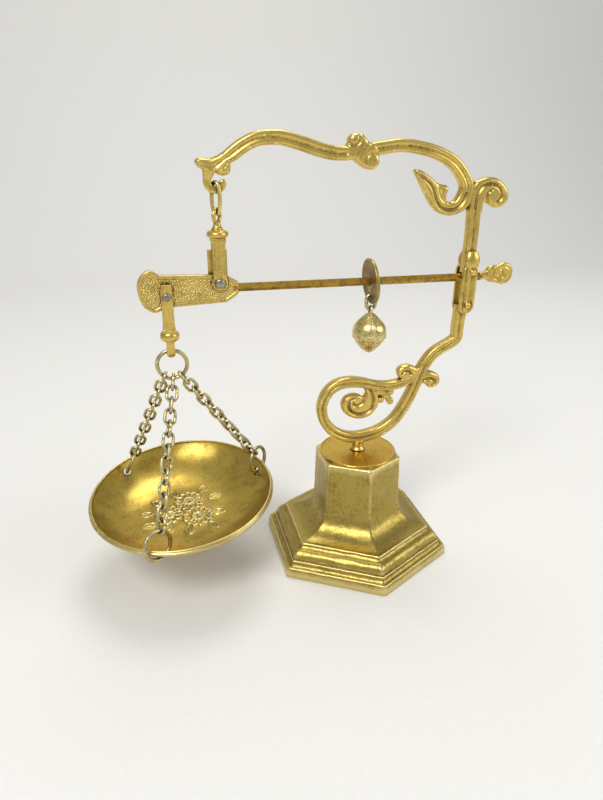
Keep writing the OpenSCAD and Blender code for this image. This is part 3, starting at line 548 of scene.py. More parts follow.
def makeUpperScroll():
    thick, z0 = arm["thick"], arm["foot"]
    top = arm["slotTop"]
    arch = [[-50.6, 113.6, 4.2], [-48.2, 115.2, 4.8], [-45, 117.4, 4.8], [-40.4, 119.5, 4.8],
            [-35.6, 120, 4.8], [-31.3, 119.8, 4.8], [-25, 118.2, 4.8], [-18.8, 116.3, 4.8],
            [-13.8, 115.3, 4.8], [-9.6, 115.1, 4.6], [-3, 115.8, 4.6], [3.8, 117, 4.5], [11.9, 117.8, 4.5],
            [22, 116.2, 4.5], [29.6, 113.2, 4.6], [34.2, 109.4, 4.7], [37, 105.4, 4.8], [37.6, 102.4, 4.9]]
    head = [[-61, 112.1], [-60.8, 113], [-60, 113.7], [-58.4, 113.6], [-56.6, 113.5], [-55, 113.9],
            [-52.9, 114.8], [-50.5, 116.3], [-48.2, 117.4], [-46.4, 116.6], [-46.4, 115.2], [-48, 113.9],
            [-49.1, 112.2], [-49.3, 110.8], [-49.5, 109.2], [-50.4, 108.4], [-52, 108.1], [-53.4, 108.4],
            [-54.6, 109.2], [-56.2, 109.9], [-58.2, 109.9], [-60, 110.8]]
    veins = [([[-46, 116.4], [-49.6, 114.5], [-52.6, 112.3], [-55, 110.6]], 0.45, 0.3),
             ([[-48.6, 113.6], [-50.6, 112.2], [-52.4, 110.4], [-54, 109.2]], 0.35, 0.25),
             ([[-51, 111.2], [-51.6, 110], [-52.2, 108.9]], 0.3, 0.15),
             ([[-60, 111.7], [-57.6, 111.2], [-55.4, 110.9]], 0.4, 0.22)]
    # the arch's lower end turns back up as a leaf with a thumb-like lobe
    leaf = [[16.5, 108.6], [16.2, 109.3], [16.8, 110], [18.2, 109.9], [20.5, 108.8], [23.3, 107],
            [25.2, 105.5], [27, 104.9], [29.2, 104.5], [29.9, 103.5], [29.8, 102.3], [29.4, 101],
            [29.5, 99.6], [30.4, 98.8], [31.6, 98.6], [32.8, 99.2], [33.8, 100.6], [34.6, 102.6],
            [35.2, 104.6], [37.8, 105], [39.7, 103], [39.6, 99.6], [38.4, 96.8], [36, 95], [33.5, 94.1],
            [31.5, 93.8], [28.5, 94.3], [25.5, 95.7], [23.5, 97.7], [21.8, 100.1], [20, 103], [18, 106.4]]
    leafLines = [([[17, 108.7], [20, 107], [22.5, 105], [24, 102.9], [24.7, 100.9], [25.6, 98.9],
                 [27.2, 97], [29.6, 96.1], [32, 96.1], [34.2, 97], [36, 99], [36.9, 101.6], [37.2, 104.6]],
                 0.5, 0.42), ([[25.6, 104.2], [26.2, 102], [27.2, 100], [28.8, 98.6]], 0.4, 0.2)]
    # the post's upper end curls over to the right into a ball
    volute = [[39.1, 94], [39, 99], [39.4, 103.6], [40.4, 105.6], [42, 106.3], [44, 107], [47, 107.3],
              [50, 106.5], [52.3, 104.9], [54, 102.6], [54.7, 100.4], [54.2, 98.4], [52.5, 96.8],
              [50.5, 96.3], [48.5, 96.7], [46.8, 97.7], [45.4, 98.5], [44.6, 97.6], [44, 94]]
    voluteLines = [([[41.4, 93], [41.2, 98], [41.6, 101.6], [43.2, 104], [45.6, 104.9], [48.4, 104.6],
                     [50.6, 103.2], [51.5, 101.2], [51.1, 99.4], [49.8, 98.6]], 0.5, 0.42),
                   ([[46.2, 98.4], [45.6, 100.4], [46, 102.2], [47.2, 102.8]], 0.4, 0.45)]
    post = [[postAt(top), top - z0, 5.2], [postAt(top) + 0.2, top + 13 - z0, 4.7], [41.5, 95.6, 4.9]]
    # the knob that clasps the arch: a curl above, a veined web and a ball below
    knob = [[-9.4, 117.3], [-9.2, 118.2], [-8.8, 119], [-8.7, 120], [-8, 120.9], [-6.8, 121.4],
            [-4.6, 121.4], [-3.2, 120.7], [-2, 119.4], [-0.6, 118.5], [0.8, 118], [1.8, 116.6], [1.8, 115],
            [2.3, 113.9], [2.6, 112.8], [2.3, 111.4], [1.3, 110.4], [-0.3, 109.9], [-2, 110.1],
            [-3.8, 110.9], [-5.4, 112], [-6.6, 112.9], [-8, 113.1], [-9.4, 113.6], [-9.2, 115.4]]
    webLines = [([[-5.2, 120.8], [-4.9, 119.8], [-5.2, 118.7], [-6.2, 117.9], [-7.6, 117.8], [-8.8, 118.4]],
                 0.4, 0.3),
                ([[-2.2, 118.8], [-3.6, 116.8], [-4.6, 114.8], [-5.2, 113]], 0.28, 0.06),
                ([[-0.8, 117.8], [-2.2, 116], [-3.2, 114.4], [-4, 112.4]], 0.28, 0.06),
                ([[-4.2, 118.2], [-5.6, 116.4], [-6.6, 114.4]], 0.28, 0.06),
                ([[1, 115], [-0.6, 115.2], [-2, 114.4], [-2.6, 113], [-2.4, 111.6]], 0.4, 0.28)]

    shapes = [band(lift(arch), thick, evenRidges), cast(head, veins), cast(leaf, leafLines),
              cast(volute, voluteLines), cast(knob, webLines, 1.16, 0.55),
              band(lift(post), thick, evenRidges), button(-7, z0 + 119.5, 1.5, thick * 1.12),
              button(-0.1, z0 + 112.5, 2.1, thick * 1.16), button(48.7, z0 + 100.6, 2, thick * 0.98)]
    # the hook: wide under the head, thinner below, turned up to the right into a small ball
    x, centre, reach = arm["hookX"], 106.4, 2.75
    hook = [[-56.4, 110.4, 4.4, 0.85], [-56.8, 108.8, 3.7, 0.7], [-57.2, 107.4, 2.9, 0.5]]
    hook += [[x + reach * cos(radians(a)), centre + reach * sin(radians(a)), 2.6, 0.42]
             for a in range(190, 341, 15)]
    shapes += [band(lift(hook), thick, plainBar, 5, full=0.5), button(-52, z0 + 105.8, 1.25, 2)]
    makePiece("upper_casting", shapes, castBrass, "stand", "upper_scroll", arm["voxel"], 2)


makeUpperScroll()

guide = {"thick": 1.4, "width": 6.4, "lap": 3, "rivet": 1.35, "rivets": [(0.7, 117.6), (0.1, 104.9)]}


def makeGuidePlates():
    low, high = arm["slotBottom"] - guide["lap"], arm["slotTop"] + guide["lap"]
    middle = postAt((arm["slotBottom"] + arm["slotTop"]) / 2) + 0.4
    half, inner, outer = guide["width"] / 2, arm["thick"] / 2, arm["thick"] / 2 + guide["thick"]
    # across the plate: a raised border on each side and a rib up the middle
    face = [(-1, 0.25), (-0.96, 0.8), (-0.86, 1), (-0.7, 0.92), (-0.58, 0.6), (-0.4, 0.55), (-0.26, 0.85),
            (-0.08, 1), (0.1, 0.9), (0.24, 0.55), (0.5, 0.5), (0.62, 0.86), (0.78, 1), (0.92, 0.85),
            (1, 0.25)]
    head = [(0.02, 1.5), (0.5, 1.45), (0.95, 1.2), (1.25, 0.8), (guide["rivet"], 0.3), (guide["rivet"], 0),
            (0.02, -0.1)]
    for name, side in (("front_guide", -1), ("rear_guide", 1)):
        rows = []
        for k in range(41):
            z = low + (high - low) * k / 40
            end = min(z - low, high - z)
            wide = half * (1 if end > 2.2 else 0.35 + 0.65 * sqrt(max(0, 1 - (1 - end / 2.2) ** 2)))
            # the lower end is filed off at its right corner
            clip = max(0, 2.6 - (z - low)) * 0.8
            lie = 0.75 + 0.25 * min(1, end / 0.8)
            across = [(min(middle + wide * u, middle + half - clip), v) for u, v in face]
            rows.append([(x, side * inner, z) for x, v in reversed(across)]
                        + [(x, side * (inner + (outer - inner) * v * lie), z) for x, v in across])
        shapes = [skin(rows)]
        for along, z in guide["rivets"]:
            place = shift(middle + along, side * (outer - 0.5), z) @ spin(-90 * side, "X")
            shapes.append(moved(turned(head, 24), place))
        # a lump of solder runs up the post from the plate's top
        lump = ((0.2, -0.8, -1.4, 2.7), (0.35, 0.1, 0.8, 3.2), (0.5, 0.1, 3, 3), (0.6, -0.6, 5.2, 2.3))
        path = spline([[middle + x, side * (inner + y), high + z, r] for x, y, z, r in lump], 5)
        shapes.append(tube([q[:3] for q in path], [q[3] * (0.55 if k in (0, len(path) - 1) else 1)
                                                   for k, q in enumerate(path)], 20, flat=0.62))
        makePiece(name, shapes, castBrass, "stand", name + "_plate", 0.17, 2)


makeGuidePlates()

# Suspension

hanging = {"linkTop": 151.533, "linkBottom": 140.133, "linkWidth": 5.4, "linkWire": 1.25,
           "linkTurn": 35, "eyeTurn": 35, "eyeZ": 140.083, "eyeWire": 1.4, "eyeHole": 1.5,
           "collarTop": 136.283, "collarRadius": 3.8, "collarHeight": 3.8, "prongWidth": 4.7,
           "prongThick": 1.2, "prongIn": 1.6, "fulcrumZ": 117.583, "pinHalf": 3.7}


def ovalLink(length, width, wire):
    radius, run = (width - wire) / 2, length - width
    # the butt seam of the bent wire is half-way down one side
    outline = arc(0, run / 2, radius, 0, 180, 10) + [(-radius, z) for z in (0.12, 0, -0.12)]
    path = [(x, 0, z) for x, z in outline + arc(0, -run / 2, radius, 180, 360, 10)]
    radii = [wire / 2 * (0.86 if abs(p[2]) < 0.05 and p[0] < 0 else 1) for p in path]
    return tube(path, radii, closed=True)


def ringOf(radius, wire, steps=64, sides=16):
    # a round ring in the XZ plane with a fine seam
    path = [(radius * cos(tau * k / steps), 0, radius * sin(tau * k / steps)) for k in range(steps)]
    radii = [wire / 2 * (0.88 if k == 9 else 1) for k in range(steps)]
    return tube(path, radii, sides, closed=True)


def makeHookLink():
    h = hanging
    place = shift(arm["hookX"], 0, (h["linkTop"] + h["linkBottom"]) / 2) @ spin(90 + h["linkTurn"], "Z")
    # bent round two pegs and sprung open a little, so its sides bow
    wide, tall = (h["linkWidth"] - h["linkWire"]) / 2, (h["linkTop"] - h["linkBottom"] - h["linkWire"]) / 2
    path = []
    for k in range(48):
        c, d = cos(tau * k / 48), sin(tau * k / 48)
        path.append((copysign(abs(c) ** 0.75, c) * wide, 0, copysign(abs(d) ** 0.95, d) * tall))
    shape = moved(tube(path, h["linkWire"] / 2 + 0.05, 18, closed=True), place)
    makePiece("hook_link_wire", [shape], castBrass, "shackle", "hook_link")


makeHookLink()

halfRound = [(-0.5, 0.1), (-0.47, 0.5), (-0.4, 0.72), (-0.32, 0.6), (-0.25, 0.82), (-0.1, 1), (0.1, 1),
             (0.25, 0.82), (0.32, 0.6), (0.4, 0.72), (0.47, 0.5), (0.5, 0.1)]


def prong(z0, z1, width, inner, thick, side, x, roundEnd=True):
    # a flat tongue from z0 to its end past z1; its outer face is half-round, between two fine grooves
    rows, steps = [], 36
    tip = width / 2
    length = abs(z1 - z0) + tip
    way = 1 if z1 > z0 else -1
    for k in range(steps + 1):
        run = length * sin(pi / 2 * k / steps)
        beyond = max(0, run - (length - tip)) / tip
        shape = sqrt(max(0.004, 1 - beyond ** 2)) if roundEnd else 1 - 0.12 * beyond
        z = z0 + way * run
        rows.append([(x + u * width * shape, side * inner, z) for u, v in reversed(halfRound)]
                    + [(x + u * width * shape, side * (inner + thick * (0.15 + 0.95 * v)), z)
                       for u, v in halfRound])
    return skin(rows)


def bridge(x, wide, deep, heights):
    # a block across the tops of two prongs
    return skin([[(x + sx * wide, sy * deep, z) for sx, sy in ((-1, -1), (1, -1), (1, 1), (-1, 1))]
                 for z in heights])


def makeUpperShackle():
    h = hanging
    x, bottom = arm["hookX"], h["collarTop"] - h["collarHeight"]
    wide, tall = h["collarRadius"], h["collarHeight"]
    # a thick rounded flange with a small step on top
    collar = [(0.1, bottom - 0.05), (wide * 0.7, bottom), (wide * 0.72, bottom + tall * 0.14)]
    collar += arc(wide - 1.15, bottom + tall * 0.42, 1.15, -80, 80, 10, 1.05)
    collar += [(wide * 0.62, bottom + tall * 0.74), (wide * 0.52, bottom + tall * 0.8),
               (wide * 0.5, bottom + tall), (0.1, bottom + tall + 0.1)]
    axis = shift(x, 0, 0)
    shapes = [moved(turned(collar, 48), axis)]
    # each prong spreads round its rivet, and the rear one is wider up to half its height
    boss = [(0.02, 0.95), (1.9, 0.95), (2.35, 1.15), (2.7, 0.9), (2.9, 0.3), (2.9, 0), (0.02, -0.02)]
    for side in (-1, 1):
        shapes.append(prong(bottom + 0.2, h["fulcrumZ"], h["prongWidth"], h["prongIn"], h["prongThick"],
                            side, x))
        place = shift(x, side * h["prongIn"], h["fulcrumZ"]) @ spin(-90 * side, "X")
        shapes.append(moved(turned(boss, 40), place))
    shapes.append(prong(h["fulcrumZ"] + 11, h["fulcrumZ"], 7, h["prongIn"], h["prongThick"] * 0.8,
                        1, x - 0.3))
    out = h["prongIn"] + h["prongThick"]
    shapes.append(bridge(x, 2.6, out, (bottom - 1.1, bottom + 0.3)))
    eye = shift(x, 0, h["eyeZ"]) @ spin(90 - h["eyeTurn"], "Z")
    shapes.append(moved(ringOf(h["eyeHole"] + h["eyeWire"] / 2, h["eyeWire"], 48, 14), eye))
    top = h["collarTop"]
    neck = [(1.9, top - 0.3), (1.6, top + 0.2), (1.3, top + 0.7), (1.35, top + 1.1), (1.2, top + 1.6)]
    shapes.append(moved(turned(neck, 32), axis))
    makePiece("upper_fork", shapes, castBrass, "shackle", "upper_shackle", 0.15, 2)


makeUpperShackle()


def makePin(name, x, z, radius, head, body):
    # a riveted pin: both ends hammered into low domes
    half, thick = hanging["pinHalf"], 0.8
    end = [(head * 0.9, half - thick), (head, half - thick + 0.12), (head * 0.97, half - thick + 0.35),
           (head * 0.8, half - 0.2), (head * 0.5, half - 0.04), (0.05, half)]
    profile = [(r, -y) for r, y in reversed(end)] + [(radius, -half + thick), (radius, half - thick)] + end
    makePiece(name + "_rivet", [moved(turned(profile, 32), upright(x, z))], turnedSteel, body, name)


makePin("fulcrum_pin", arm["hookX"], hanging["fulcrumZ"], 1, 1.65, "fulcrum")

# Lever

lever = {"rodZ": 115.383, "rodStart": -49.1, "rodEnd": 48, "side": 2.2, "tick": 2, "tickDepth": 0.1,
         "tickHalf": 0.14, "plateThick": 2.5, "border": 1.1, "ground": 0.32, "studs": 420,
         "studGap": 0.62, "left": -75.4, "right": -52.4, "top": 120.183, "low": 110.383}


def makePlate():
    t = lever["plateThick"] / 2
    left, right, top, low = (lever[k] for k in ("left", "right", "top", "low"))
    mid, rod, half = lever["rodZ"] - 0.1, lever["rodZ"], 1.556
    # a fan at the outer end, straight sides, and a taper to the rod
    fan = [[left, top + 0.6], [left - 3.4, top + 2.4], [left - 6.6, top + 0.2], [left - 7.8, mid + 1],
           [left - 6.4, low + 0.2], [left - 2.6, low - 2.6], [left + 1.4, low - 1]]
    outline = spline(fan, 6)[::-1]
    sides = [[right, top], [right + 4.4, rod + half + 0.5], [right + 4.4, rod - half - 0.5],
             [right + 2.6, low + 1.6], [right, low]]
    straight = [outline[-1]] + sides + [outline[0]]
    for a, b in zip(straight, straight[1:]):
        length = dist(a, b)
        count = max(2, int(length / 1.2))
        outline += [[a[0] + (b[0] - a[0]) * k / count, a[1] + (b[1] - a[1]) * k / count]
                    for k in range(1, count + (0 if b is straight[-1] else 1))]

    def inset(distance, y):
        row, count = [], len(outline)
        for i in range(count):
            a, b = outline[i - 1], outline[(i + 1) % count]
            length = dist(a, b)
            nx, nz = (b[1] - a[1]) / length, -(b[0] - a[0]) / length
            row.append((outline[i][0] + nx * distance, y, outline[i][1] + nz * distance))
        return row

    area = sum(a[0] * b[1] - b[0] * a[1] for a, b in zip(outline, outline[1:] + outline[:1]))
    way = 1 if area < 0 else -1
    edge, ground = lever["border"], lever["ground"]
    steps = [(edge + 0.2, t - ground), (edge, t - 0.06), (edge * 0.55, t), (0.3, t - 0.03), (0, t - 0.35)]
    rows = [inset(way * d, y) for d, y in steps] + [inset(way * d, -y) for d, y in reversed(steps)]
    shapes = [skin(rows)]
    # the stippled ground between the borders
    draw = random.Random(7)
    border = [(p[0], p[2]) for p in inset(way * (edge + 0.45), 0)]
    border.append(border[0])
    placed, spots = 0, []
    while placed < lever["studs"]:
        x, z = draw.uniform(left - 8, right + 4), draw.uniform(low - 3, top + 3)
        apart = all(hypot(x - a, z - b) > lever["studGap"] for a, b in spots)
        if apart and within(np.array([[x, z]]), border)[0]:
            spots.append((x, z))
        placed += 1 if len(spots) > placed or draw.random() < 0.02 else 0
    for x, z in spots:
        size = draw.uniform(0.24, 0.46)
        stud = [(0.02, 0.26), (size * 0.6, 0.2), (size, 0), (size, -0.3), (0.02, -0.35)]
        for side in (-1, 1):
            place = upright(x, z, side * (t - ground))
            shapes.append(moved(turned([(r, -side * h) for r, h in stud], 8), place))
    makePiece("beam_plate", shapes, castBrass, "lever", "beam", 0.14, 1)


makePlate()


def makeRod():
    half = lever["side"] * sqrt(2) / 2
    z0, start, end = lever["rodZ"], lever["rodStart"], lever["rodEnd"]
    x, stations = start - 0.6, []
    while x < end:
        stations.append((x, 0))
        x += 0.5
    for k in range(int((end - start - 8) / lever["tick"])):
        at = start + 6 + k * lever["tick"]
        stations += [(at - lever["tickHalf"], 0), (at, 1), (at + lever["tickHalf"], 0)]
    rows, bevel, side, low = [], 0.22, half - 0.1, z0 - half + 0.08
    for x, cut in sorted(stations):
        top = z0 + (half - 0.08 - cut * lever["tickDepth"])
        rows.append([(x, -bevel, top), (x, bevel, top), (x, side, z0 + bevel), (x, side, z0 - bevel),
                     (x, bevel, low), (x, -bevel, low), (x, -side, z0 - bevel), (x, -side, z0 + bevel)])
    rod = makePiece("beam_rod", [skin(rows)], filedBrass, "lever", "beam")
    for face in rod.data.polygons:
        face.use_smooth = False


makeRod()


def makeFinial():
    x, z, t = lever["rodEnd"], lever["rodZ"] + 0.8, lever["plateThick"]
    neck = [[x - 0.9, z - 0.8, 2.6], [x, z - 0.7, 2.9], [x + 1.4, z - 0.5, 3], [x + 2.8, z - 0.2, 4.2],
            [x + 4.4, z, 5]]
    outline = [[x + 1.9, z - 1.4], [x + 1.9, z + 1.6], [x + 2.9, z + 2.9], [x + 4.6, z + 3.4],
               [x + 6, z + 3.2], [x + 7.2, z + 3.7], [x + 9.2, z + 4.3], [x + 11.4, z + 3.7],
               [x + 12.9, z + 2], [x + 13.3, z], [x + 12.9, z - 2.2], [x + 11.2, z - 3.9], [x + 9, z - 4.3],
               [x + 7, z - 3.8], [x + 5.6, z - 3.3], [x + 4, z - 3.3], [x + 2.7, z - 2.6]]
    ring = [[x + 7 + 2.1 * cos(a), z + 0.1 + 2.2 * sin(a)] for a in (tau * k / 12 for k in range(13))]
    rim = [[x + 8.7 + 3.3 * cos(a), z + 3.1 * sin(a)] for a in (-1.3, -0.7, 0, 0.7, 1.3)]
    lines = [(ring, 0.5, 0.4), ([[x + 6.9, z + 0.1], [x + 7.1, z + 0.1]], 0.7, 0.3), (rim, 0.4, 0.2)]
    shapes = [band(neck, t, plainBar, 6), carved(outline, t + 0.3, lines, 0.35, 1.3)]
    makePiece("beam_finial", shapes, castBrass, "lever", "beam", 0.15, 2)


makeFinial()

# Load side

load = {"x": -73.4, "z": 113.583, "collarTop": 100.783, "collarRadius": 3.5, "collarHeight": 3.8,
        "prongWidth": 4.2, "stripZ": 93.983, "stripHole": 1.6, "stripThick": 1.6, "stripWidth": 3,
        "ringZ": 88.031, "ringRadius": 5.4, "ringWire": 1.5}


def makeLoadShackle():
    s = load
    x, top = s["x"], s["collarTop"]
    bottom = top - s["collarHeight"]
    wide, tall = s["collarRadius"], s["collarHeight"]
    collar = [(0.1, bottom - 0.05), (wide * 0.66, bottom), (wide * 0.72, bottom + tall * 0.14)]
    collar += arc(wide * 0.72, bottom + tall * 0.5, wide * 0.28, -60, 60, 8, 1.7)
    collar += [(wide * 0.72, bottom + tall * 0.86), (wide * 0.66, bottom + tall),
               (0.1, bottom + tall + 0.1)]
    shapes = [moved(turned(collar, 48), shift(x, 0, 0))]
    for side in (-1, 1):
        shapes.append(prong(top - 0.2, s["z"] + 2.1, s["prongWidth"], 1.6, 1.2, side, x, roundEnd=False))
    shapes.append(bridge(x, 2.3, 2.8, (top - 0.3, top + 1.1)))
    # the strip folded round below the collar
    r = s["stripHole"] + s["stripThick"] / 2
    path = [(x, -r, bottom + 0.3), (x, -r, (bottom + s["stripZ"]) / 2)]
    path += [(x, -r * cos(radians(a)), s["stripZ"] - r * sin(radians(a)))
             for a in range(0, 181, 12)]
    path += [(x, r, (bottom + s["stripZ"]) / 2), (x, r, bottom + 0.3)]
    shapes.append(tube(path, s["stripThick"] / 2 * 0.98, 16, normal=(1, 0, 0),
                       flat=s["stripWidth"] / s["stripThick"]))
    makePiece("load_fork", shapes, castBrass, "load_hanger", "load_shackle", 0.15, 2)


makeLoadShackle()
makePin("load_pin", load["x"], load["z"], 0.9, 1.4, "load_hanger")


def makeLoadRing():
    shape = moved(ringOf(load["ringRadius"], load["ringWire"]), shift(load["x"], 0, load["ringZ"]))
    makePiece("load_ring_wire", [shape], drawnBrass, "ring", "load_ring")


makeLoadRing()

# Pan: a pressed dish with a beaded rim, flowers on its floor and three ring holes

pan = {"radius": 35.2, "depth": 10.5, "floor": 14, "thick": 1.5, "height": 34.5, "tilt": 6.6,
       "axis": (0.857, -0.515, 0), "hole": 1.45, "holeInset": 4.1, "angles": (133, 16, -105.7),
       "twists": (-51, 33, -38), "lifts": (60, 68, 75), "rolls": (28, -5, 11), "bow": 0.35,
       "ringRadius": 5.4, "ringWire": 1.5, "sides": 480}
wallCurve = ((pan["radius"] - pan["floor"]) ** 2 + pan["depth"] ** 2) / (2 * pan["depth"])
wallEnd = asin((pan["radius"] - pan["floor"]) / wallCurve)
leaned = shift(load["x"], 0, pan["height"]) @ spin(pan["tilt"], Vector(pan["axis"]))
wallHole = wallEnd - pan["holeInset"] / wallCurve
wallCore = wallCurve + pan["thick"] / 2
holeAt = (pan["floor"] + wallCore * sin(wallHole), wallCurve - wallCore * cos(wallHole) - pan["depth"])

flowers = {"daisies": [(1.8, 5.6, 5.6, 12), (4.6, -5, 5.6, 13), (-6.8, -1.4, 5.3, 11)],
           "leaves": [(8.2, 12.2, 56, 5.8), (12.6, 6.2, 22, 5.6), (12.8, -4.2, -14, 5.8),
           (10.2, -12, -55, 5.6), (0.6, -12.6, -95, 5.2), (-7.4, -10.4, -125, 5.6), (-14.6, -6, 200, 5.8),
           (-15.4, 1.2, 176, 5.4), (-11, 7.6, 143, 5.6), (-4, 12, 108, 5.2)], "line": 0.27, "rise": 0.65}


def embossed(x, y):
    # height of the pressed lines over the pan's floor, for arrays of points
    rise = np.zeros_like(x)
    line = flowers["line"]

    def add(distance, height, width=line):
        np.maximum(rise, height * np.exp(-(distance / width) ** 2), out=rise)

    for cx, cy, size, petals in flowers["daisies"]:
        away = np.hypot(x - cx, y - cy)
        turn = np.arctan2(y - cy, x - cx)
        near = away < size * 1.12
        rise[near] *= 0.15
        step = tau / petals
        local = (turn + step / 2) % step - step / 2
        u, v = away * np.cos(local) - size * 0.68, away * np.sin(local)
        petal = np.hypot(u / (size * 0.32), v / (size * 0.2))
        add((petal - 1) * size * 0.22, flowers["rise"])
        add(away - size * 0.34, flowers["rise"] * 0.8, line * 0.9)
        heart = away < size * 0.3
        rise[heart] = np.maximum(rise[heart], 0.25 + 0.14 * np.cos(turn[heart] * 14))
    for cx, cy, bearing, length in flowers["leaves"]:
        a = radians(bearing)
        u = (x - cx) * cos(a) + (y - cy) * sin(a)
        v = -(x - cx) * sin(a) + (y - cy) * cos(a)
        s = u / (length / 2)
        inside = np.clip(1 - s ** 2, 0, None)
        border = np.abs(np.abs(v) - length * 0.27 * inside)
        add(np.where(np.abs(s) < 1, border, 9), flowers["rise"] * 0.75)
        add(np.where(np.abs(s) < 0.85, np.abs(v), 9), flowers["rise"] * 0.4, line * 0.7)
    return rise


def makePan():
    p = pan
    sides = p["sides"]
    inner = [(0.06 + (p["floor"] - 0.06) * k / 62, -p["depth"]) for k in range(63)]
    wall = [(p["floor"] + wallCurve * sin(a), wallCurve * (1 - cos(a)) - p["depth"])
            for a in (wallEnd * k / 76 for k in range(1, 77))]
    rim = [(34.95, 0.25), (35.0, 0.52), (35.3, 0.68), (35.65, 0.62), (35.85, 0.38), (35.95, 0.08),
           (36.1, -0.02), (36.32, -0.1), (36.45, -0.35), (36.42, -0.7), (36.2, -1)]
    back = wallCurve + p["thick"]
    outer = [(p["floor"] + back * sin(a), wallCurve - back * cos(a) - p["depth"])
             for a in (wallEnd * (0.96 - 0.96 * k / 22) for k in range(23))]
    outer += [(r, -p["depth"] - p["thick"]) for r in (10, 6, 3, 1, 0.06)]
    turns = np.arange(sides) * tau / sides

    def dent(bearing, width):
        return np.exp(-((np.degrees(turns) - bearing) / width) ** 2)

    rows = []
    for i, (r, z) in enumerate(inner + wall + rim + outer):
        x, y = r * np.cos(turns), r * np.sin(turns)
        h = np.full(sides, float(z))
        if i < len(inner) + len(wall):
            # a hand-struck floor isn't quite flat
            ease = 1 if i < len(inner) else max(0, 1 - (i - len(inner)) / 50)
            wave = np.array([noise.noise(Vector((a * 0.13, b * 0.13, 4))) for a, b in zip(x, y)])
            h += wave * 0.16 * min(1, (len(inner) + len(wall) - i) / 12)
            h += embossed(x, y) * ease
        elif i < len(inner) + len(wall) + len(rim):
            knock, small = dent(214, 5), dent(203, 2.2) + dent(190, 3)
            chips = np.array([max(0, noise.noise(Vector((a * 0.9, b * 0.9, 2)))) for a, b in zip(x, y)])
            battered = dent(204, 22)
            h -= 0.5 * knock + 0.3 * small + 0.7 * chips * battered
            x, y = x * (1 - 0.006 * knock - 0.01 * chips * battered), y * (1 - 0.006 * knock)
        rows.append(list(zip(x, y, h)))
    dish = moved(skin(rows), leaned)
    cutters = []
    for angle, twist, rise, roll in zip(p["angles"], p["twists"], p["lifts"], p["rolls"]):
        place = (leaned @ spin(angle, "Z") @ shift(holeAt[0], 0, holeAt[1]) @ spin(twist, "Z")
                 @ spin(roll, "X") @ spin(180 - rise, "Y") @ shift(-p["bow"], 0, 0))
        cutters.append(moved(turned([(p["hole"], -4), (p["hole"], 4)], 24), place))
    piece = makePiece("dish", [dish], pressedBrass, "pan_set", "pan", cutters=cutters)
    # how far each point stands up, so that the raised lines and the rim are painted bright: partly real
    # wear, partly a painted highlight
    level = leaned.inverted()
    spots = np.array([tuple(level @ (v.co / mm)) for v in piece.data.vertices])
    height = np.clip(embossed(spots[:, 0], spots[:, 1]) / flowers["rise"], 0, 1)
    height *= spots[:, 2] > -p["depth"] - 0.7
    height = np.maximum(height, 0.45 * (np.hypot(spots[:, 0], spots[:, 1]) > p["radius"] - 0.1))
    raised = piece.data.attributes.new("raised", "FLOAT", "POINT")
    raised.data.foreach_set("value", height.astype(np.float32))


makePan()


def ringFrame(i):
    # the plane and centre of a pan ring in the level pan's frame: across, up, centre
    turn = radians(pan["angles"][i] + pan["twists"][i])
    across = Vector((cos(turn), sin(turn), 0))
    up = Matrix.Rotation(radians(pan["rolls"][i]), 3, across) @ Vector((0, 0, 1))
    a, rise = radians(pan["angles"][i]), radians(pan["lifts"][i])
    hole = Vector((holeAt[0] * cos(a), holeAt[0] * sin(a), holeAt[1]))
    return across, up, hole + pan["ringRadius"] * (cos(rise) * across + sin(rise) * up)


def makePanRings():
    for i, name in enumerate(("pan_ring_left", "pan_ring_right", "pan_ring_front")):
        across, up, centre = ringFrame(i)
        place = leaned @ shift(*centre) @ Matrix((across, up.cross(across), up)).transposed().to_4x4()
        shape = moved(ringOf(pan["ringRadius"], pan["ringWire"]), place)
        makePiece(name + "_wire", [shape], drawnBrass, "pan_set", name)


makePanRings()

chain = {"length": 7, "width": 4.9, "wire": 1.2, "play": 0.06, "spots": (-125, -55, -90)}


def makeChains():
    c = chain
    bore = c["length"] - 2 * c["wire"]
    reach = bore / 2 - load["ringWire"] / 2 - 0.08
    ringAt = Vector((load["x"], 0, load["ringZ"]))
    turnOnly = leaned.to_3x3()
    for i, name in enumerate(("chain_left", "chain_right", "chain_front")):
        a = radians(c["spots"][i])
        top = ringAt + load["ringRadius"] * Vector((cos(a), 0, sin(a)))
        across, up, centre = ringFrame(i)
        side, rise, middle = turnOnly @ across, turnOnly @ up, leaned @ centre
        pull = top - middle
        hung = middle + pan["ringRadius"] * (pull.dot(side) * side + pull.dot(rise) * rise).normalized()
        down = (hung - top).normalized()
        run = (hung - top).length - 2 * reach
        gaps = ceil(run / (bore - c["play"]))
        flat = [v - down * v.dot(down) for v in (Vector((-sin(a), 0, cos(a))),
                                                 (turnOnly @ up.cross(across)).cross(hung - middle))]
        first, last = (v.normalized() for v in flat)
        swing = degrees(atan2(first.cross(last).dot(down), first.dot(last))) - 90 * gaps
        twist = radians(90 + (swing - 180 * round(swing / 180)) / gaps)
        other = down.cross(first)
        shapes = []
        for k in range(gaps + 1):
            spot = top + down * (reach + run * k / gaps)
            normal = first * cos(twist * k) + other * sin(twist * k)
            turn = Matrix((normal.cross(down), normal, down)).transposed().to_4x4()
            shapes.append(moved(ovalLink(c["length"], c["width"], c["wire"]), shift(*spot) @ turn))
        makePiece(name + "_wires", shapes, drawnBrass, "pan_set", name)


makeChains()

# Poise

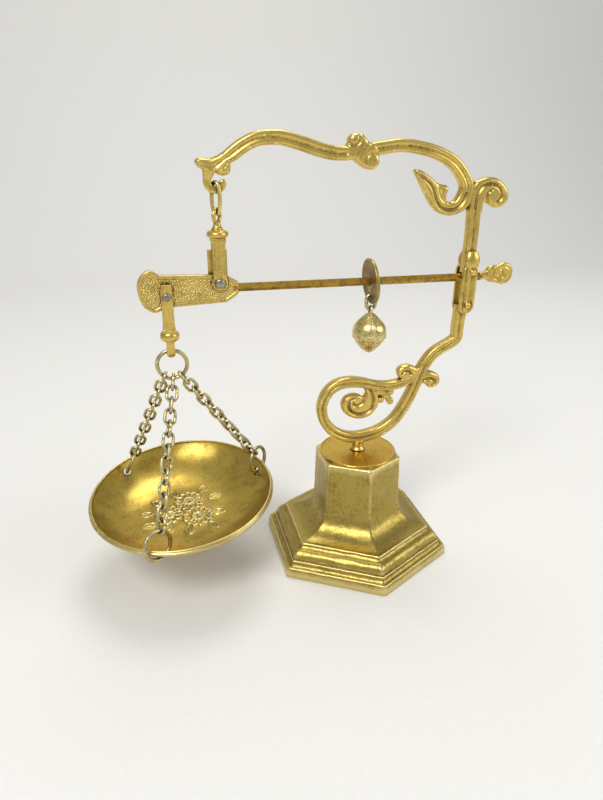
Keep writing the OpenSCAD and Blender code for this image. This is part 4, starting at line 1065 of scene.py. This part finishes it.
poise = {"discX": 2.2, "discZ": 115.303, "discRadius": 8.6, "discThick": 1.5, "lean": 5, "drop": 4.95,
         "bore": 1.72, "eye": 1, "hangX": 2.631, "linkZ": 107.462, "linkWire": 1.45, "eyeZ": 104.262,
         "eyeRadius": 1.45, "eyeWire": 1.05, "seams": (268, 88), "belt": -1.5, "ballZ": 95.311,
         "ballRadius": 6.6, "ballDrop": 8, "ballRise": 7.6, "below": [(0.02, 1), (0.08, 1), (0.25, 0.94),
         (0.5, 0.76), (0.76, 0.5), (0.93, 0.25), (1, 0.06)], "above": [(0.99, 0.12), (0.94, 0.3),
         (0.83, 0.48), (0.67, 0.64), (0.48, 0.8), (0.34, 0.92), (0.22, 1), (0.02, 1.01)]}


def makeDisc():
    p = poise
    t, r = p["discThick"] / 2, p["discRadius"]
    face = [(p["bore"], t - 0.1), (p["bore"] + 0.5, t), (r * 0.5, t - 0.1), (r - 1.1, t - 0.06),
            (r - 0.6, t), (r - 0.2, t - 0.12), (r, t - 0.45)]
    lean = shift(p["discX"], 0, p["discZ"]) @ spin(-p["lean"], "Y")
    disc = moved(turned(bothFaces(face), 96, loop=True), lean @ spin(90, "Y"))
    hole = moved(turned([(p["eye"], -2), (p["eye"], 2)], 24),
                 lean @ shift(0, 0, -p["drop"]) @ spin(90, "Y"))
    makePiece("slider_plate", [disc], shadedSheetBrass, "disc", "poise_disc", cutters=[hole])


makeDisc()


def makePoise():
    p = poise
    shape = moved(ovalLink(chain["length"], chain["width"] + 0.2, p["linkWire"]),
                  shift(p["hangX"], 0, p["linkZ"]))
    makePiece("poise_link_wire", [shape], drawnBrass, "disc_link", "poise_link")
    # two dished halves soldered at a low belt, with a seam down each side and a skin like a rough casting
    outline = [[r * p["ballRadius"], -h * p["ballDrop"]] for r, h in p["below"]]
    outline += [[r * p["ballRadius"], h * p["ballRise"]] for r, h in p["above"]]
    sides, rows = 110, []
    for radius, height in spline(outline, 6):
        row = []
        for j in range(sides):
            turn = tau * j / sides
            angle = degrees(turn)
            seam = 0.55 * sum(exp(-(((angle - a + 180) % 360 - 180) / 2.8) ** 2)
                              for a in p["seams"])
            belt = 0.34 * exp(-((height - p["belt"]) / 0.4) ** 2)
            spot = Vector((cos(turn) * radius, sin(turn) * radius, height))
            skinned = 0.07 * noise.noise(spot * 0.9) + 0.05 * noise.noise(spot * 2.3)
            out = max(0.05, radius + (seam + belt + skinned) * min(1, radius / 3))
            row.append((p["hangX"] + out * cos(turn), out * sin(turn), p["ballZ"] + height))
        rows.append(row)
    eye = shift(p["hangX"], 0, p["eyeZ"]) @ spin(90, "Z")
    shapes = [skin(rows), moved(ringOf(p["eyeRadius"], p["eyeWire"], 40, 14), eye)]
    makePiece("poise_bob", shapes, paleBrass, "ball", "poise_ball", 0.12, 1)


makePoise()
print("pieces made")

# Studio: a pale floor that sweeps up behind, soft lamps

studio = {"floor": "#e9e7e2", "back": 0.55, "curve": 0.35, "width": 3, "front": -1.6, "wall": 1.6,
          "target": (-0.02, 0, 0.08)}


def makeStudio():
    material, tree = newMaterial("studio_paper")
    place = addNode(tree, "TexCoord").outputs["Object"]
    fibre = addNode(tree, "TexNoise", {"Vector": place, "Scale": perMetre(1.5), "Detail": 4})
    tone = addNode(tree, "MapRange", {"Value": fibre.outputs["Fac"], "To Min": 0.94, "To Max": 1.02})
    paint = addNode(tree, "Mix", {0: tone.outputs[0], 6: (0, 0, 0, 1), 7: linear(studio["floor"])},
                    data_type="RGBA")
    shader = addNode(tree, "BsdfPrincipled", {"Base Color": paint.outputs[2], "Roughness": 0.75})
    addNode(tree, "OutputMaterial", {"Surface": shader.outputs[0]})
    outline = [(studio["front"], 0), (studio["back"], 0)]
    outline += [(studio["back"] + studio["curve"] * sin(radians(a)),
                 studio["curve"] * (1 - cos(radians(a)))) for a in range(6, 91, 6)]
    outline += [(studio["back"] + studio["curve"], studio["wall"])]
    verts = [(x, y, z) for y, z in outline for x in (-studio["width"], studio["width"])]
    faces = [(2 * i, 2 * i + 1, 2 * i + 3, 2 * i + 2) for i in range(len(outline) - 1)]
    mesh = bpy.data.meshes.new("backdrop")
    mesh.from_pydata(verts, [], faces)
    for face in mesh.polygons:
        face.use_smooth = True
    mesh.materials.append(material)
    newObject("backdrop", mesh)


def addLamp(name, place, size, power):
    data = bpy.data.lights.new(name, "AREA")
    data.shape, data.size, data.energy = "DISK", size, power
    lamp = newObject(name, data)
    lamp.location = place
    lamp.rotation_euler = (Vector(studio["target"]) - Vector(place)).to_track_quat("-Z", "Y").to_euler()


makeStudio()
addLamp("key", (-0.45, -0.55, 0.85), 0.4, 5.2)
addLamp("fill", (0.75, -0.35, 0.45), 0.5, 2.1)
addLamp("top", (0.1, 0.35, 0.95), 0.5, 3.2)

world = bpy.data.worlds.new("studio")
bpy.context.scene.world = world
world.use_nodes = True
world.node_tree.nodes.clear()
sky = addNode(world.node_tree, "Background", {"Color": linear("#d9dcdf"), "Strength": 0.62})
addNode(world.node_tree, "OutputWorld", {"Surface": sky.outputs[0]})
bpy.context.scene.view_settings.view_transform = "Standard"
print("studio made")
